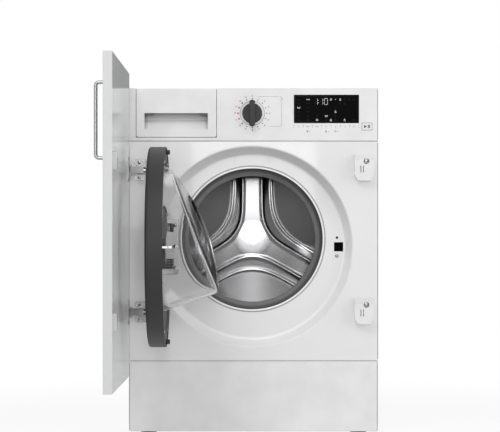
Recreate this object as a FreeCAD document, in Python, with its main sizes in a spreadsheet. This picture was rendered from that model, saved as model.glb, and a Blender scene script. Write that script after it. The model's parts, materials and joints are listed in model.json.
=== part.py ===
import FreeCAD, Part
import math
import operator
import os

import Sketcher
from FreeCAD import Placement, Rotation, Vector

# Integrated washer dryer. Millimetres; the floor is z = 0, the face of the front panel is y = 0,
# x runs to the right and y into the machine. Both doors stand open at right angles.

doc = FreeCAD.newDocument("WasherDryer")

SIZES = {
    # cabinet
    "case_width": 597.0,
    "head_room": 102.0,
    "case_depth": 535.0,
    "sheet_gauge": 1.2,
    "fold_width": 18.0,
    "front_return": 13.5,
    "base_level": 22.0,
    "pan_rim": 32.0,
    "pan_wall": 2.5,
    "panel_gap": 1.6,
    "side_play": 0.5,
    "seat_gap": 0.3,
    "plinth_clear": 5.0,
    "plinth_wall": 2.5,
    "foot_inset": 46.0,
    "foot_radius": 20.0,
    "foot_pad": 9.0,
    "stud_radius": 5.0,
    "nut_radius": 10.0,
    "nut_height": 7.0,
    # porthole surround
    "middle_shift": -3.0,
    "dish_drop": 19.0,
    "dish_rim": 239.0,
    "dish_floor": 223.0,
    "dish_depth": 24.0,
    "dish_round": 6.0,
    "dish_sill": 33.0,
    "slit_rise": 200.0,
    "slit_length": 15.0,
    "mouth_radius": 176.0,
    "collar_depth": 14.0,
    # control panel and dispenser
    "fascia_height": 127.0,
    "fascia_depth": 35.0,
    "fascia_wall": 2.8,
    "drawer_inset": 18.5,
    "drawer_width": 191.5,
    "drawer_rise": 10.0,
    "drawer_play": 1.0,
    "drawer_front_depth": 27.0,
    "grip_inset": 19.5,
    "grip_width": 151.5,
    "grip_rise": 15.5,
    "grip_height": 42.0,
    "grip_depth": 21.0,
    "tray_rise": 30.0,
    "tray_height": 48.0,
    "tray_length": 222.0,
    "tray_wall": 2.5,
    "tray_inset": 9.0,
    "housing_wall": 2.2,
    "housing_room": 5.5,
    "hose_x": -190.0,
    "hose_y": 240.0,
    "hose_radius": 16.0,
    "knob_drop": 60.0,
    "knob_radius": 23.5,
    "knob_disc": 7.0,
    "knob_depth": 20.0,
    "knob_bar_width": 13.6,
    "knob_bar_length": 62.0,
    "knob_shaft": 3.0,
    "ring_radius": 30.4,
    "ring_height": 0.8,
    "window_inset": 46.5,
    "window_width": 155.4,
    "window_rise": 43.5,
    "window_height": 67.6,
    "window_glass": 1.8,
    "button_inset": 39.0,
    "button_width": 23.4,
    "button_rise": 27.2,
    "button_height": 16.3,
    "button_travel": 1.5,
    "board_level": 14.0,
    "board_gauge": 1.6,
    # furniture door
    "leaf_width": 597.0,
    "leaf_height": 720.0,
    "leaf_gauge": 20.0,
    "leaf_foot": 138.0,
    "leaf_gap": 31.0,
    "leaf_pin_inset": 5.75,
    "leaf_pin_ahead": 28.75,
    "hinge_rise": 183.0,
    "hinge_spacing": 338.0,
    "leaf_pin": 2.0,
    "leaf_knuckle": 4.5,
    "arm_height": 16.6,
    "ear_gauge": 4.0,
    "cup_radius": 17.5,
    "cup_depth": 12.0,
    "cup_inset": 32.0,
    "flange_gauge": 1.2,
    "pull_inset": 45.0,
    "pull_level": 497.0,
    "pull_span": 160.0,
    "pull_rise": 22.0,
    "pull_bar": 4.0,
    # magnet catches
    "catch_inset": 34.5,
    "catch_width": 46.6,
    "catch_height": 63.0,
    "catch_rise": 156.8,
    "catch_spacing": 342.0,
    "catch_depth": 22.0,
    "strike_gap": 0.6,
    # porthole door
    "rim_radius": 228.0,
    "rim_front": 25.0,
    "rim_back": 14.0,
    "rim_wall": 4.0,
    "rim_round": 6.0,
    "flange_radius": 214.0,
    "flange_back": 13.0,
    "flange_ledge": 15.0,
    "web_back": 10.0,
    "peg_ring": 216.0,
    "peg_radius": 5.5,
    "peg_rise": 9.0,
    "window_radius": 150.0,
    "rim_pin_x": -222.0,
    "rim_pin_ahead": 10.0,
    "rim_pin": 3.0,
    "rim_knuckle": 5.5,
    "rim_hinge_half": 70.0,
    "bowl_radius": 166.0,
    "bowl_back": 6.0,
    "bowl_wall": 5.0,
    "bowl_reach": 121.0,
    "bowl_taper": 0.34,
    "bowl_tilt": 0.389,
    "bowl_dip": 115.0,
    "bowl_round": 14.0,
    "latch_offset": 207.3,
    "latch_slot": 22.0,
    "latch_reach": 21.0,
    # tub, drum and drive
    "tub_radius": 258.0,
    "tub_wall": 3.5,
    "tub_front": 75.0,
    "tub_seam": 180.0,
    "tub_clear": 97.0,
    "tub_flange": 8.0,
    "tub_mouth": 178.0,
    "tub_collar": 15.0,
    "drum_gap": 16.5,
    "drum_gauge": 1.0,
    "drum_front": 85.0,
    "back_clear": 18.0,
    "back_depth": 30.0,
    "drum_mouth": 165.0,
    "step_offset": 26.0,
    "step_depth": 5.0,
    "step_round": 58.0,
    "lobe_offset": 47.0,
    "lobe_depth": 9.0,
    "lobe_round": 150.0,
    "lobe_taper": 50.0,
    "back_gauge": 1.5,
    "back_rim": 4.0,
    "boss_radius": 46.0,
    "boss_rise": 3.5,
    "lifter_height": 46.0,
    "lifter_width": 58.0,
    "heater_clear": 60.0,
    "shaft_radius": 15.0,
    "bearing_radius": 31.0,
    "bearing_width": 16.0,
    "hub_radius": 44.0,
    "hub_length": 42.0,
    "weight_depth": 33.0,
    "weight_back": 138.0,
    "weight_length": 120.0,
    "weight_left": 150.0,
    "weight_right": 10.0,
    "weight_drop": 108.0,
    "weight_rise": 60.0,
    "pulley_radius": 140.0,
    "pulley_rise": 46.0,
    "pulley_width": 16.0,
    "belt_gauge": 3.5,
    "motor_x": 85.0,
    "motor_clear": 4.0,
    "motor_gap": 25.0,
    "motor_radius": 62.0,
    "motor_behind": 174.0,
    "motor_length": 160.0,
    "motor_shaft": 6.0,
    "motor_pulley": 10.0,
    # suspension
    "spring_inset": 8.0,
    "spring_ahead": 118.0,
    "spring_radius": 12.0,
    "spring_wire": 1.6,
    "spring_turns": 7.0,
    "ear_rise": 141.0,
    "ear_height": 14.0,
    "bar_height": 16.0,
    "bar_width": 34.0,
    "damper_inset": 93.0,
    "damper_ahead": 198.0,
    "damper_radius": 14.0,
    "damper_rod": 6.0,
    "damper_top": 165.0,
    # drying air
    "duct_left": 100.0,
    "duct_width": 100.0,
    "duct_rise": 22.0,
    "duct_height": 46.0,
    "duct_wall": 2.0,
    "vent_drop": 86.0,
    "vent_radius": 16.0,
    "warm_inset": 160.0,
    "warm_length": 120.0,
    "fan_x": 120.0,
    "fan_clear": 135.0,
    "fan_radius": 66.0,
    "fan_shaft": 4.0,
    "fan_gap": 6.0,
    # pump and services
    "pump_x": -120.0,
    "pump_height": 92.0,
    "filter_radius": 32.0,
    "filter_wall": 3.0,
    "filter_front": 22.0,
    "filter_length": 96.0,
    "sump_y": 96.0,
    "sump_radius": 20.0,
    "valve_inset": 138.5,
    "valve_drop": 37.0,
    "valve_thread": 13.2,
    "outlet_inset": 98.5,
    "outlet_radius": 10.5,
    "gland_inset": 53.5,
    "gland_bore": 4.6,
    "run_clear": 0.05,
}

sheet = doc.addObject("Spreadsheet::Sheet", "Sizes")
for row, (alias, number) in enumerate(SIZES.items(), 1):
    sheet.set(f"A{row}", alias)
    sheet.set(f"B{row}", str(number))
    sheet.setAlias(f"B{row}", alias)
doc.recompute()

OPERATIONS = {
    "+": operator.add,
    "-": operator.sub,
    "*": operator.mul,
    "/": operator.truediv,
}


class Dim:
    """A length: its number now and the sheet formula that drives it."""

    def __init__(self, value, formula):
        self.value = value
        self.formula = formula

    def __add__(self, other):
        return combine(self, "+", other)

    def __radd__(self, other):
        return combine(other, "+", self)

    def __sub__(self, other):
        return combine(self, "-", other)

    def __rsub__(self, other):
        return combine(other, "-", self)

    def __mul__(self, other):
        return combine(self, "*", other)

    def __rmul__(self, other):
        return combine(other, "*", self)

    def __truediv__(self, other):
        return combine(self, "/", other)

    def __neg__(self):
        return combine(0.0, "-", self)


def as_dim(size):
    """A plain number as a Dim; a Dim as it is."""
    if isinstance(size, Dim):
        return size
    return Dim(float(size), repr(float(size)))


def combine(left, sign, right):
    """Two sizes joined by one sign, as number and as formula."""
    left = as_dim(left)
    right = as_dim(right)
    value = OPERATIONS[sign](left.value, right.value)
    return Dim(value, f"({left.formula} {sign} {right.formula})")


def root(size):
    """The square root of a size."""
    return Dim(math.sqrt(size.value), f"sqrt({size.formula})")


class Sizes:
    """The sheet's cells as Dims."""

    def __getattr__(self, alias):
        return Dim(SIZES[alias], f"Sizes.{alias}")


S = Sizes()
NODES = []
SPOTS = {}
TURN_TO = {
    "X": Rotation(Vector(0, 1, 0), 90),
    "Y": Rotation(Vector(1, 0, 0), -90),
    "Z": Rotation(),
}
QUARTER_OUT = Rotation(Vector(0, 0, 1), -90)


def drive(feature, path, size):
    """Bind one property of a feature to a size."""
    feature.setExpression(path, as_dim(size).formula)


def place(feature, x=0.0, y=0.0, z=0.0, rotation=None):
    """Put a feature at a driven place, turned by a fixed rotation."""
    feature.Placement = Placement(Vector(), rotation or Rotation())
    for name, size in (("x", x), ("y", y), ("z", z)):
        drive(feature, f"Placement.Base.{name}", size)
    SPOTS[feature.Name] = (as_dim(x), as_dim(y), as_dim(z))
    return feature


def spot(axis, centre, level):
    """The point at a level along an axis through a centre of the other two coordinates."""
    first, second = centre
    return {
        "X": (level, first, second),
        "Y": (first, level, second),
        "Z": (first, second, level),
    }[axis]


def block(name, x, y, z):
    """A box between two corners."""
    box = doc.addObject("Part::Box", name)
    for side, (low, high) in (("Length", x), ("Width", y), ("Height", z)):
        drive(box, side, as_dim(high) - low)
    return place(box, x[0], y[0], z[0])


def rod(name, axis, centre, radius, span):
    """A cylinder along an axis."""
    cylinder = doc.addObject("Part::Cylinder", name)
    drive(cylinder, "Radius", radius)
    drive(cylinder, "Height", as_dim(span[1]) - span[0])
    return place(cylinder, *spot(axis, centre, span[0]), TURN_TO[axis])


def plus(name, *pieces):
    """Pieces fused into one."""
    fuse = doc.addObject("Part::MultiFuse", name)
    fuse.Shapes = list(pieces)
    fuse.Refine = True
    return fuse


def minus(name, base, *tools):
    """A base with tools cut away."""
    cut = doc.addObject("Part::Cut", name)
    cut.Base = base
    cut.Tool = tools[0] if len(tools) == 1 else together(name + "_tools", *tools)
    cut.Refine = True
    return cut


def shared(name, first, second):
    """What two pieces have in common."""
    common = doc.addObject("Part::Common", name)
    common.Base = first
    common.Tool = second
    return common


def together(name, *pieces):
    """Separate solids kept as one group."""
    group = doc.addObject("Part::Compound", name)
    group.Links = list(pieces)
    return group


def tube(name, axis, centre, outer, inner, span):
    """A pipe along an axis."""
    wall = rod(name + "_wall", axis, centre, outer, span)
    hole = rod(name + "_hole", axis, centre, inner, (span[0] - as_dim(1), span[1] + as_dim(1)))
    return minus(name, wall, hole)


def new_sketch(body, plane, level):
    """A sketch on one of a body's origin planes, moved to a level."""
    sketch = body.newObject("Sketcher::SketchObject", body.Name + "_sketch")
    for feature in body.Origin.OriginFeatures:
        if feature.Role == plane + "_Plane":
            sketch.AttachmentSupport = [(feature, "")]
    sketch.MapMode = "FlatFace"
    drive(sketch, "AttachmentOffset.Base.z", -as_dim(level) if plane == "XZ" else level)
    return sketch


def pin(sketch, geometry, end, point):
    """Tie a point of a sketch to driven coordinates."""
    for kind, size in zip(("DistanceX", "DistanceY"), point):
        size = as_dim(size)
        if size.formula == "0.0":
            line = -2 if kind == "DistanceX" else -1
            sketch.addConstraint(Sketcher.Constraint("PointOnObject", geometry, end, line))
            continue
        index = sketch.addConstraint(Sketcher.Constraint(kind, -1, 1, geometry, end, size.value))
        sketch.setExpression(f"Constraints[{index}]", size.formula)


def draw(sketch, points):
    """A closed outline through driven points."""
    spots = [Vector(as_dim(x).value, as_dim(y).value, 0) for x, y in points]
    count = len(points)
    start = sketch.GeometryCount
    for n in range(count):
        sketch.addGeometry(Part.LineSegment(spots[n], spots[(n + 1) % count]), False)
    for n in range(count):
        joint = (start + n, 2, start + (n + 1) % count, 1)
        sketch.addConstraint(Sketcher.Constraint("Coincident", *joint))
    for n, point in enumerate(points):
        pin(sketch, start + n, 1, point)


def circle(sketch, centre, radius):
    """A circle about a driven centre."""
    radius = as_dim(radius)
    x, y = (as_dim(size).value for size in centre)
    index = sketch.addGeometry(Part.Circle(Vector(x, y, 0), Vector(0, 0, 1), radius.value), False)
    pin(sketch, index, 3, centre)
    size = sketch.addConstraint(Sketcher.Constraint("Radius", index, radius.value))
    sketch.setExpression(f"Constraints[{size}]", radius.formula)


def new_body(name):
    """An empty body."""
    return doc.addObject("PartDesign::Body", name)


def thicken(body, plane, points, span):
    """Add an outline to a body, drawn out over a span of the plane's axis."""
    sketch = new_sketch(body, plane, span[0])
    draw(sketch, points)
    feature = body.newObject("PartDesign::Pad", body.Name + "_pad")
    feature.Profile = sketch
    feature.Reversed = plane == "XZ"
    drive(feature, "Length", as_dim(span[1]) - span[0])
    return feature


def pad(name, plane, points, span):
    """A body from one outline."""
    body = new_body(name)
    thicken(body, plane, points, span)
    return body


def carve(body, plane, points, span, angle=None):
    """Cut an outline out of a body over a span of the plane's axis."""
    sketch = new_sketch(body, plane, span[0])
    draw(sketch, points)
    feature = body.newObject("PartDesign::Pocket", body.Name + "_pocket")
    feature.Profile = sketch
    feature.Reversed = plane != "XZ"
    drive(feature, "Length", as_dim(span[1]) - span[0])
    if angle is not None:
        drive(feature, "TaperAngle", angle)
    return feature


def drill(body, plane, centres, radius, span):
    """Cut round holes out of a body over a span of the plane's axis."""
    sketch = new_sketch(body, plane, span[0])
    for centre in centres:
        circle(sketch, centre, radius)
    feature = body.newObject("PartDesign::Pocket", body.Name + "_holes")
    feature.Profile = sketch
    feature.Reversed = plane != "XZ"
    drive(feature, "Length", as_dim(span[1]) - span[0])
    return feature


def turn(name, axis, centre, profile):
    """A body turned about an axis from a profile of radius and level."""
    body = new_body(name)
    sketch = new_sketch(body, {"X": "XY", "Y": "XY", "Z": "XZ"}[axis], 0.0)
    points = [(level, radius) for radius, level in profile] if axis == "X" else profile
    draw(sketch, points)
    feature = body.newObject("PartDesign::Revolution", name + "_turn")
    feature.Profile = sketch
    feature.ReferenceAxis = (sketch, ["H_Axis" if axis == "X" else "V_Axis"])
    feature.Angle = 360.0
    return place(body, *spot(axis, centre, 0.0))


def soften(body, radius, chosen):
    """Round the edges of a body that a test picks."""
    doc.recompute()
    tip = body.Tip
    edges = [f"Edge{n}" for n, edge in enumerate(tip.Shape.Edges, 1) if chosen(edge)]
    feature = body.newObject("PartDesign::Fillet", body.Name + "_round")
    feature.Base = (tip, edges)
    drive(feature, "Radius", radius)
    return body


def runs(axis):
    """A test for straight edges along an axis."""
    heading = {"X": Vector(1, 0, 0), "Y": Vector(0, 1, 0), "Z": Vector(0, 0, 1)}[axis]

    def test(edge):
        if edge.Curve.TypeId != "Part::GeomLine":
            return False
        return abs(edge.Curve.Direction.dot(heading)) > 0.999

    return test


def lies(axis, level):
    """A test for edges that lie wholly at a level of an axis."""
    low, high = {"X": ("XMin", "XMax"), "Y": ("YMin", "YMax"), "Z": ("ZMin", "ZMax")}[axis]
    value = as_dim(level).value

    def test(edge):
        bounds = edge.BoundBox
        near = abs(getattr(bounds, low) - value) < 0.01
        return near and abs(getattr(bounds, high) - value) < 0.01

    return test


def both(*tests):
    """A test that needs all of several tests."""
    return lambda edge: all(test(edge) for test in tests)


def rings(radius, level):
    """A test for round edges of a radius at a level along y."""
    size = as_dim(radius).value
    flat = lies("Y", level)

    def test(edge):
        if edge.Curve.TypeId != "Part::GeomCircle":
            return False
        return flat(edge) and abs(edge.Curve.Radius - size) < 0.01

    return test


def node(label, feature):
    """Keep a feature as a sub-part."""
    feature.Label = label
    NODES.append(feature)
    return feature


def open_out(feature, pin_x, pin_y):
    """Swing a feature drawn with its door shut to the open position about an upright pin."""
    x, y, z = SPOTS.get(feature.Name, (as_dim(0), as_dim(0), as_dim(0)))
    rotation = QUARTER_OUT * feature.Placement.Rotation
    return place(feature, y + pin_x - pin_y, pin_x + pin_y - x, z, rotation)


HALF = S.case_width / 2
PANEL_HALF = HALF - S.side_play
GAUGE = S.sheet_gauge
MOTOR_HEIGHT = S.base_level + S.pan_rim + S.motor_clear + S.motor_radius
MOUTH_HEIGHT = MOTOR_HEIGHT + S.motor_radius + S.motor_gap + S.tub_radius
DISH_HEIGHT = MOUTH_HEIGHT - S.dish_drop
TUB_TOP = MOUTH_HEIGHT + S.tub_radius
TOP = TUB_TOP + S.head_room
BACK = S.case_depth
BACK_INSIDE = BACK - GAUGE
MIDDLE = S.middle_shift
DISH = (MIDDLE, DISH_HEIGHT)
MOUTH = (MIDDLE, MOUTH_HEIGHT)
DISH_BACK = S.dish_depth + GAUGE
FASCIA_FOOT = TOP - S.fascia_height
FASCIA_LOW = FASCIA_FOOT + S.panel_gap / 2
PLINTH_TOP = DISH_HEIGHT - S.dish_rim - S.dish_sill
DRAWER_LEFT = S.drawer_inset - HALF
DRAWER_FOOT = FASCIA_FOOT + S.drawer_rise
GRIP_LEFT = DRAWER_LEFT + S.grip_inset
GRIP_FOOT = DRAWER_FOOT + S.grip_rise
TRAY_FOOT = DRAWER_FOOT + S.tray_rise
KNOB_HEIGHT = TOP - S.knob_drop
WINDOW_LEFT = HALF - S.window_inset - S.window_width
WINDOW_FOOT = FASCIA_FOOT + S.window_rise
BUTTON_LEFT = HALF - S.button_inset
BUTTON_FOOT = FASCIA_FOOT + S.button_rise
UPPER_HINGE = DISH_HEIGHT + S.hinge_rise
CATCH_X = HALF - S.catch_inset
CATCH_FOOT = DISH_HEIGHT + S.catch_rise
PULL_FOOT = S.leaf_foot + S.pull_level
LATCH_X = MIDDLE + S.latch_offset
EAR_LEVEL = MOUTH_HEIGHT + S.ear_rise
DUCT_FOOT = TUB_TOP + S.duct_rise
VALVE_HEIGHT = TOP - S.valve_drop
VALVE_X = HALF - S.valve_inset
OUTLET_X = S.outlet_inset - HALF
GLAND_X = HALF - S.gland_inset
DRUM_RADIUS = S.tub_radius - S.tub_wall - S.drum_gap
TUB_BACK = S.case_depth - S.tub_clear
FAN_Y = S.case_depth - S.fan_clear
SPRING_Y = TUB_BACK - S.spring_ahead
DAMPER_Y = TUB_BACK - S.damper_ahead
DRUM_EDGE = TUB_BACK - S.back_clear
DRUM_FLOOR = DRUM_EDGE - S.back_depth
PULLEY_LEVEL = TUB_BACK + S.pulley_rise
MOTOR_FRONT = PULLEY_LEVEL - S.motor_behind
SPRING_OFFSET = S.tub_radius - S.spring_inset
DAMPER_OFFSET = S.tub_radius - S.damper_inset
VENT_HEIGHT = TUB_TOP - S.vent_drop
DRAWER_RIGHT = DRAWER_LEFT + S.drawer_width
LOWER_HINGE = UPPER_HINGE - S.hinge_spacing


def rectangle(x, z):
    """The four corners of an upright rectangle."""
    return [(x[0], z[0]), (x[1], z[0]), (x[1], z[1]), (x[0], z[1])]


def make_side(name, sign):
    """A folded side panel; the sign gives the side."""
    wall = sign * HALF
    skin = sign * (HALF - GAUGE)
    fold = sign * (HALF - S.fold_width)
    points = [
        (wall, S.front_return),
        (fold, S.front_return),
        (fold, S.front_return + GAUGE),
        (skin, S.front_return + GAUGE),
        (skin, BACK_INSIDE - GAUGE),
        (fold, BACK_INSIDE - GAUGE),
        (fold, BACK_INSIDE),
        (wall, BACK_INSIDE),
    ]
    body = pad(name, "XY", points, (S.base_level, TOP - GAUGE))
    soften(body, GAUGE, both(runs("Z"), lies("X", wall)))
    bay = rectangle((S.front_return - 1, S.fascia_depth + S.seat_gap), (FASCIA_FOOT, TOP))
    ends = sorted((wall + sign, fold - sign), key=lambda size: size.value)
    carve(body, "YZ", bay, ends)
    return body


SERVICE_HALF = 150.0
SERVICE_LOW = 260.0
SERVICE_HIGH = 640.0


def make_back():
    """The back panel with its service opening and the holes of the connections."""
    span = (BACK_INSIDE, BACK)
    outline = rectangle((-HALF, HALF), (S.base_level, TOP - GAUGE))
    body = pad("back_panel", "XZ", outline, span)
    opening = rectangle((MIDDLE - SERVICE_HALF, MIDDLE + SERVICE_HALF), (SERVICE_LOW, SERVICE_HIGH))
    carve(body, "XZ", opening, span)
    soften(body, 40.0, both(runs("Y"), lambda edge: abs(edge.BoundBox.Center.x) < HALF.value - 1))
    drill(body, "XZ", [(VALVE_X, VALVE_HEIGHT)], S.valve_thread + 1.8, span)
    drill(body, "XZ", [(OUTLET_X, VALVE_HEIGHT)], S.outlet_radius + 1.5, span)
    drill(body, "XZ", [(GLAND_X, VALVE_HEIGHT)], S.gland_bore + 4.4, span)
    node("back_panel", body)
    cover = pad(
        "rear_cover",
        "XZ",
        rectangle(
            (MIDDLE - SERVICE_HALF - 15, MIDDLE + SERVICE_HALF + 15),
            (SERVICE_LOW - 15, SERVICE_HIGH + 15),
        ),
        (BACK, BACK + GAUGE),
    )
    pan = rectangle(
        (MIDDLE - SERVICE_HALF + 10, MIDDLE + SERVICE_HALF - 10),
        (SERVICE_LOW + 10, SERVICE_HIGH - 10),
    )
    thicken(cover, "XZ", pan, (BACK + GAUGE, BACK + 7.0))
    soften(cover, 30.0, runs("Y"))
    soften(cover, 3.0, lies("Y", BACK + 7.0))
    hollow = rectangle(
        (MIDDLE - SERVICE_HALF + 14, MIDDLE + SERVICE_HALF - 14),
        (SERVICE_LOW + 14, SERVICE_HIGH - 14),
    )
    carve(cover, "XZ", hollow, (BACK, BACK + 7.0 - GAUGE))
    node("rear_cover", cover)


def make_top():
    """The top panel with its front and rear folds."""
    front = S.fascia_depth + S.seat_gap
    inner = HALF - S.fold_width - 2
    plate = block("top_plate", (-HALF, HALF), (front, BACK), (TOP - GAUGE, TOP))
    front_fold = block("top_front_fold", (-inner, inner), (front, front + GAUGE), (TOP - 12, TOP - GAUGE))
    rear = (BACK_INSIDE - 2 * GAUGE - S.seat_gap, BACK_INSIDE - GAUGE - S.seat_gap)
    rear_fold = block("top_rear_fold", (-inner, inner), rear, (TOP - 12, TOP - GAUGE))
    node("top_panel", plus("top_panel", plate, front_fold, rear_fold))


FOOT_X = HALF - S.foot_inset
FOOT_SPOTS = [
    (-FOOT_X, S.foot_inset + 8),
    (FOOT_X, S.foot_inset + 8),
    (-FOOT_X, BACK - S.foot_inset),
    (FOOT_X, BACK - S.foot_inset),
]


def make_base():
    """The base pan and its four adjustable feet."""
    side = HALF - GAUGE - S.seat_gap
    y = (S.front_return + GAUGE + S.seat_gap, BACK_INSIDE - GAUGE - S.seat_gap)
    low = S.base_level
    rim = low + S.pan_rim
    wall = S.pan_wall
    outer = rectangle((-side, side), y)
    body = pad("base_pan", "XY", outer, (low, rim))
    inner = rectangle((-side + wall, side - wall), (y[0] + wall, y[1] - wall))
    carve(body, "XY", inner, (low + wall, rim))
    soften(body, 8.0, both(runs("Z"), lambda edge: edge.BoundBox.ZLength < S.pan_rim.value - 1))
    drill(body, "XY", FOOT_SPOTS, S.stud_radius + S.seat_gap, (low, low + wall))
    node("base_pan", body)
    pads = []
    studs = []
    for n, centre in enumerate(FOOT_SPOTS):
        sole = [
            (0.0, 0.0),
            (S.foot_radius, 0.0),
            (S.foot_radius, S.foot_pad * 0.45),
            (S.stud_radius + 4, S.foot_pad),
            (0.0, S.foot_pad),
        ]
        pads.append(turn(f"foot_pad_{n}", "Z", centre, sole))
        stem = rod(f"foot_stem_{n}", "Z", centre, S.stud_radius, (S.foot_pad, low + wall + 16))
        nut = doc.addObject("Part::Prism", f"foot_nut_{n}")
        nut.Polygon = 6
        drive(nut, "Circumradius", S.nut_radius)
        drive(nut, "Height", S.nut_height)
        place(nut, centre[0], centre[1], low - S.nut_height)
        studs.append(plus(f"foot_stud_{n}", stem, nut))
    node("foot_pads", together("foot_pads", *pads))
    node("foot_studs", together("foot_studs", *studs))


def make_front():
    """The front panel: a folded sheet with a round dish pressed in around the mouth."""
    low = PLINTH_TOP + S.panel_gap / 2
    high = FASCIA_FOOT - S.panel_gap / 2
    depth = S.dish_depth
    sheet_body = pad("front_sheet", "XZ", rectangle((-PANEL_HALF, PANEL_HALF), (low, high)), (0.0, GAUGE))
    soften(sheet_body, 3.0, both(runs("Y"), lies("Z", high)))
    drill(sheet_body, "XZ", [DISH], S.dish_rim + 4, (0.0, GAUGE))
    dish = turn(
        "front_dish",
        "Y",
        DISH,
        [
            (0.0, depth),
            (S.dish_floor, depth),
            (S.dish_rim, 0.0),
            (S.dish_rim + 4, 0.0),
            (S.dish_rim + 4, GAUGE),
            (S.dish_rim + GAUGE * 0.6, GAUGE),
            (S.dish_floor + GAUGE * 0.6, depth + GAUGE),
            (0.0, depth + GAUGE),
        ],
    )
    soften(dish, S.dish_round, rings(S.dish_floor, depth))
    soften(dish, S.dish_round + GAUGE, rings(S.dish_floor + GAUGE * 0.6, depth + GAUGE))
    soften(dish, S.dish_round, rings(S.dish_rim, 0.0))
    left = block(
        "front_left_return",
        (-PANEL_HALF, -PANEL_HALF + GAUGE),
        (GAUGE, S.front_return),
        (low, high - 3),
    )
    right = block(
        "front_right_return",
        (PANEL_HALF - GAUGE, PANEL_HALF),
        (GAUGE, S.front_return),
        (low, high - 3),
    )
    collar = rod("front_collar", "Y", MOUTH, S.mouth_radius + GAUGE, (depth, depth + S.collar_depth))
    skin = plus("front_skin", sheet_body, dish, left, right, collar)
    half = S.latch_slot / 2
    slot = block(
        "front_latch_slot",
        (LATCH_X - half, LATCH_X + half),
        (depth - 1, depth + 3),
        (DISH_HEIGHT - half, DISH_HEIGHT + half),
    )
    pilot = rod("front_pilot", "Y", (LATCH_X - 4, DISH_HEIGHT + 22), 3.0, (depth - 1, depth + 3))
    mouth = rod("front_mouth", "Y", MOUTH, S.mouth_radius, (depth - 1, depth + S.collar_depth + 1))
    slits = []
    for n, x in enumerate((-42.0, 39.0)):
        slits.append(
            block(
                f"front_slit_{n}",
                (MIDDLE + x - 0.8, MIDDLE + x + 0.8),
                (depth - 1, depth + 3),
                (DISH_HEIGHT + S.slit_rise, DISH_HEIGHT + S.slit_rise + S.slit_length),
            )
        )
    node("front_panel", minus("front_panel", skin, slot, pilot, mouth, *slits))


def make_plinth():
    """The plinth panel, a shallow tray open to the back."""
    x = PANEL_HALF - 1
    wall = S.plinth_wall
    z = (S.plinth_clear, PLINTH_TOP - S.panel_gap / 2)
    body = pad("plinth_panel", "XZ", rectangle((-x, x), z), (2.0, S.front_return))
    soften(body, 2.0, lies("Y", 2.0))
    inner = rectangle((-x + wall, x - wall), (z[0] + wall, z[1] - wall))
    carve(body, "XZ", inner, (2.0 + wall, S.front_return))
    node("plinth_panel", body)


BUTTON_X = (BUTTON_LEFT, BUTTON_LEFT + S.button_width)
BUTTON_Z = (BUTTON_FOOT, BUTTON_FOOT + S.button_height)
WINDOW_X = (WINDOW_LEFT, WINDOW_LEFT + S.window_width)
WINDOW_Z = (WINDOW_FOOT, WINDOW_FOOT + S.window_height)


def grow(span, margin):
    """A span made longer at both ends."""
    return (span[0] - margin, span[1] + margin)


def make_fascia():
    """The control panel: a moulded shell with the drawer bay and the control openings."""
    x = PANEL_HALF
    wall = S.fascia_wall
    depth = S.fascia_depth
    body = pad("control_panel", "XZ", rectangle((-x, x), (FASCIA_LOW, TOP)), (0.0, depth))
    soften(body, 2.0, lies("Y", 0.0))
    bay_x = (DRAWER_LEFT - S.drawer_play, DRAWER_RIGHT + S.drawer_play)
    bay_low = DRAWER_FOOT - S.drawer_play
    inner = rectangle((bay_x[1] + wall, x - wall), (FASCIA_LOW + wall, TOP - wall))
    carve(body, "XZ", inner, (wall, depth))
    under = rectangle((-x + wall, bay_x[1]), (FASCIA_LOW + wall, bay_low - wall))
    carve(body, "XZ", under, (wall, depth))
    carve(body, "XZ", rectangle(bay_x, (bay_low, TOP + 1)), (0.0, depth))
    carve(
        body,
        "XZ",
        rectangle(grow(WINDOW_X, S.seat_gap), grow(WINDOW_Z, S.seat_gap)),
        (0.0, S.window_glass),
    )
    carve(body, "XZ", rectangle(grow(WINDOW_X, -2.5), grow(WINDOW_Z, -2.5)), (0.0, wall))
    carve(body, "XZ", rectangle(grow(BUTTON_X, S.seat_gap), grow(BUTTON_Z, S.seat_gap)), (0.0, wall))
    knob = (MIDDLE, KNOB_HEIGHT)
    ring_sketch = new_sketch(body, "XZ", -S.ring_height)
    circle(ring_sketch, knob, S.ring_radius)
    circle(ring_sketch, knob, S.knob_radius + 0.8)
    ring = body.newObject("PartDesign::Pad", "control_panel_ring")
    ring.Profile = ring_sketch
    ring.Reversed = True
    drive(ring, "Length", S.ring_height)
    drill(body, "XZ", [knob], S.knob_shaft + 2, (0.0, wall))
    node("control_panel", body)


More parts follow.
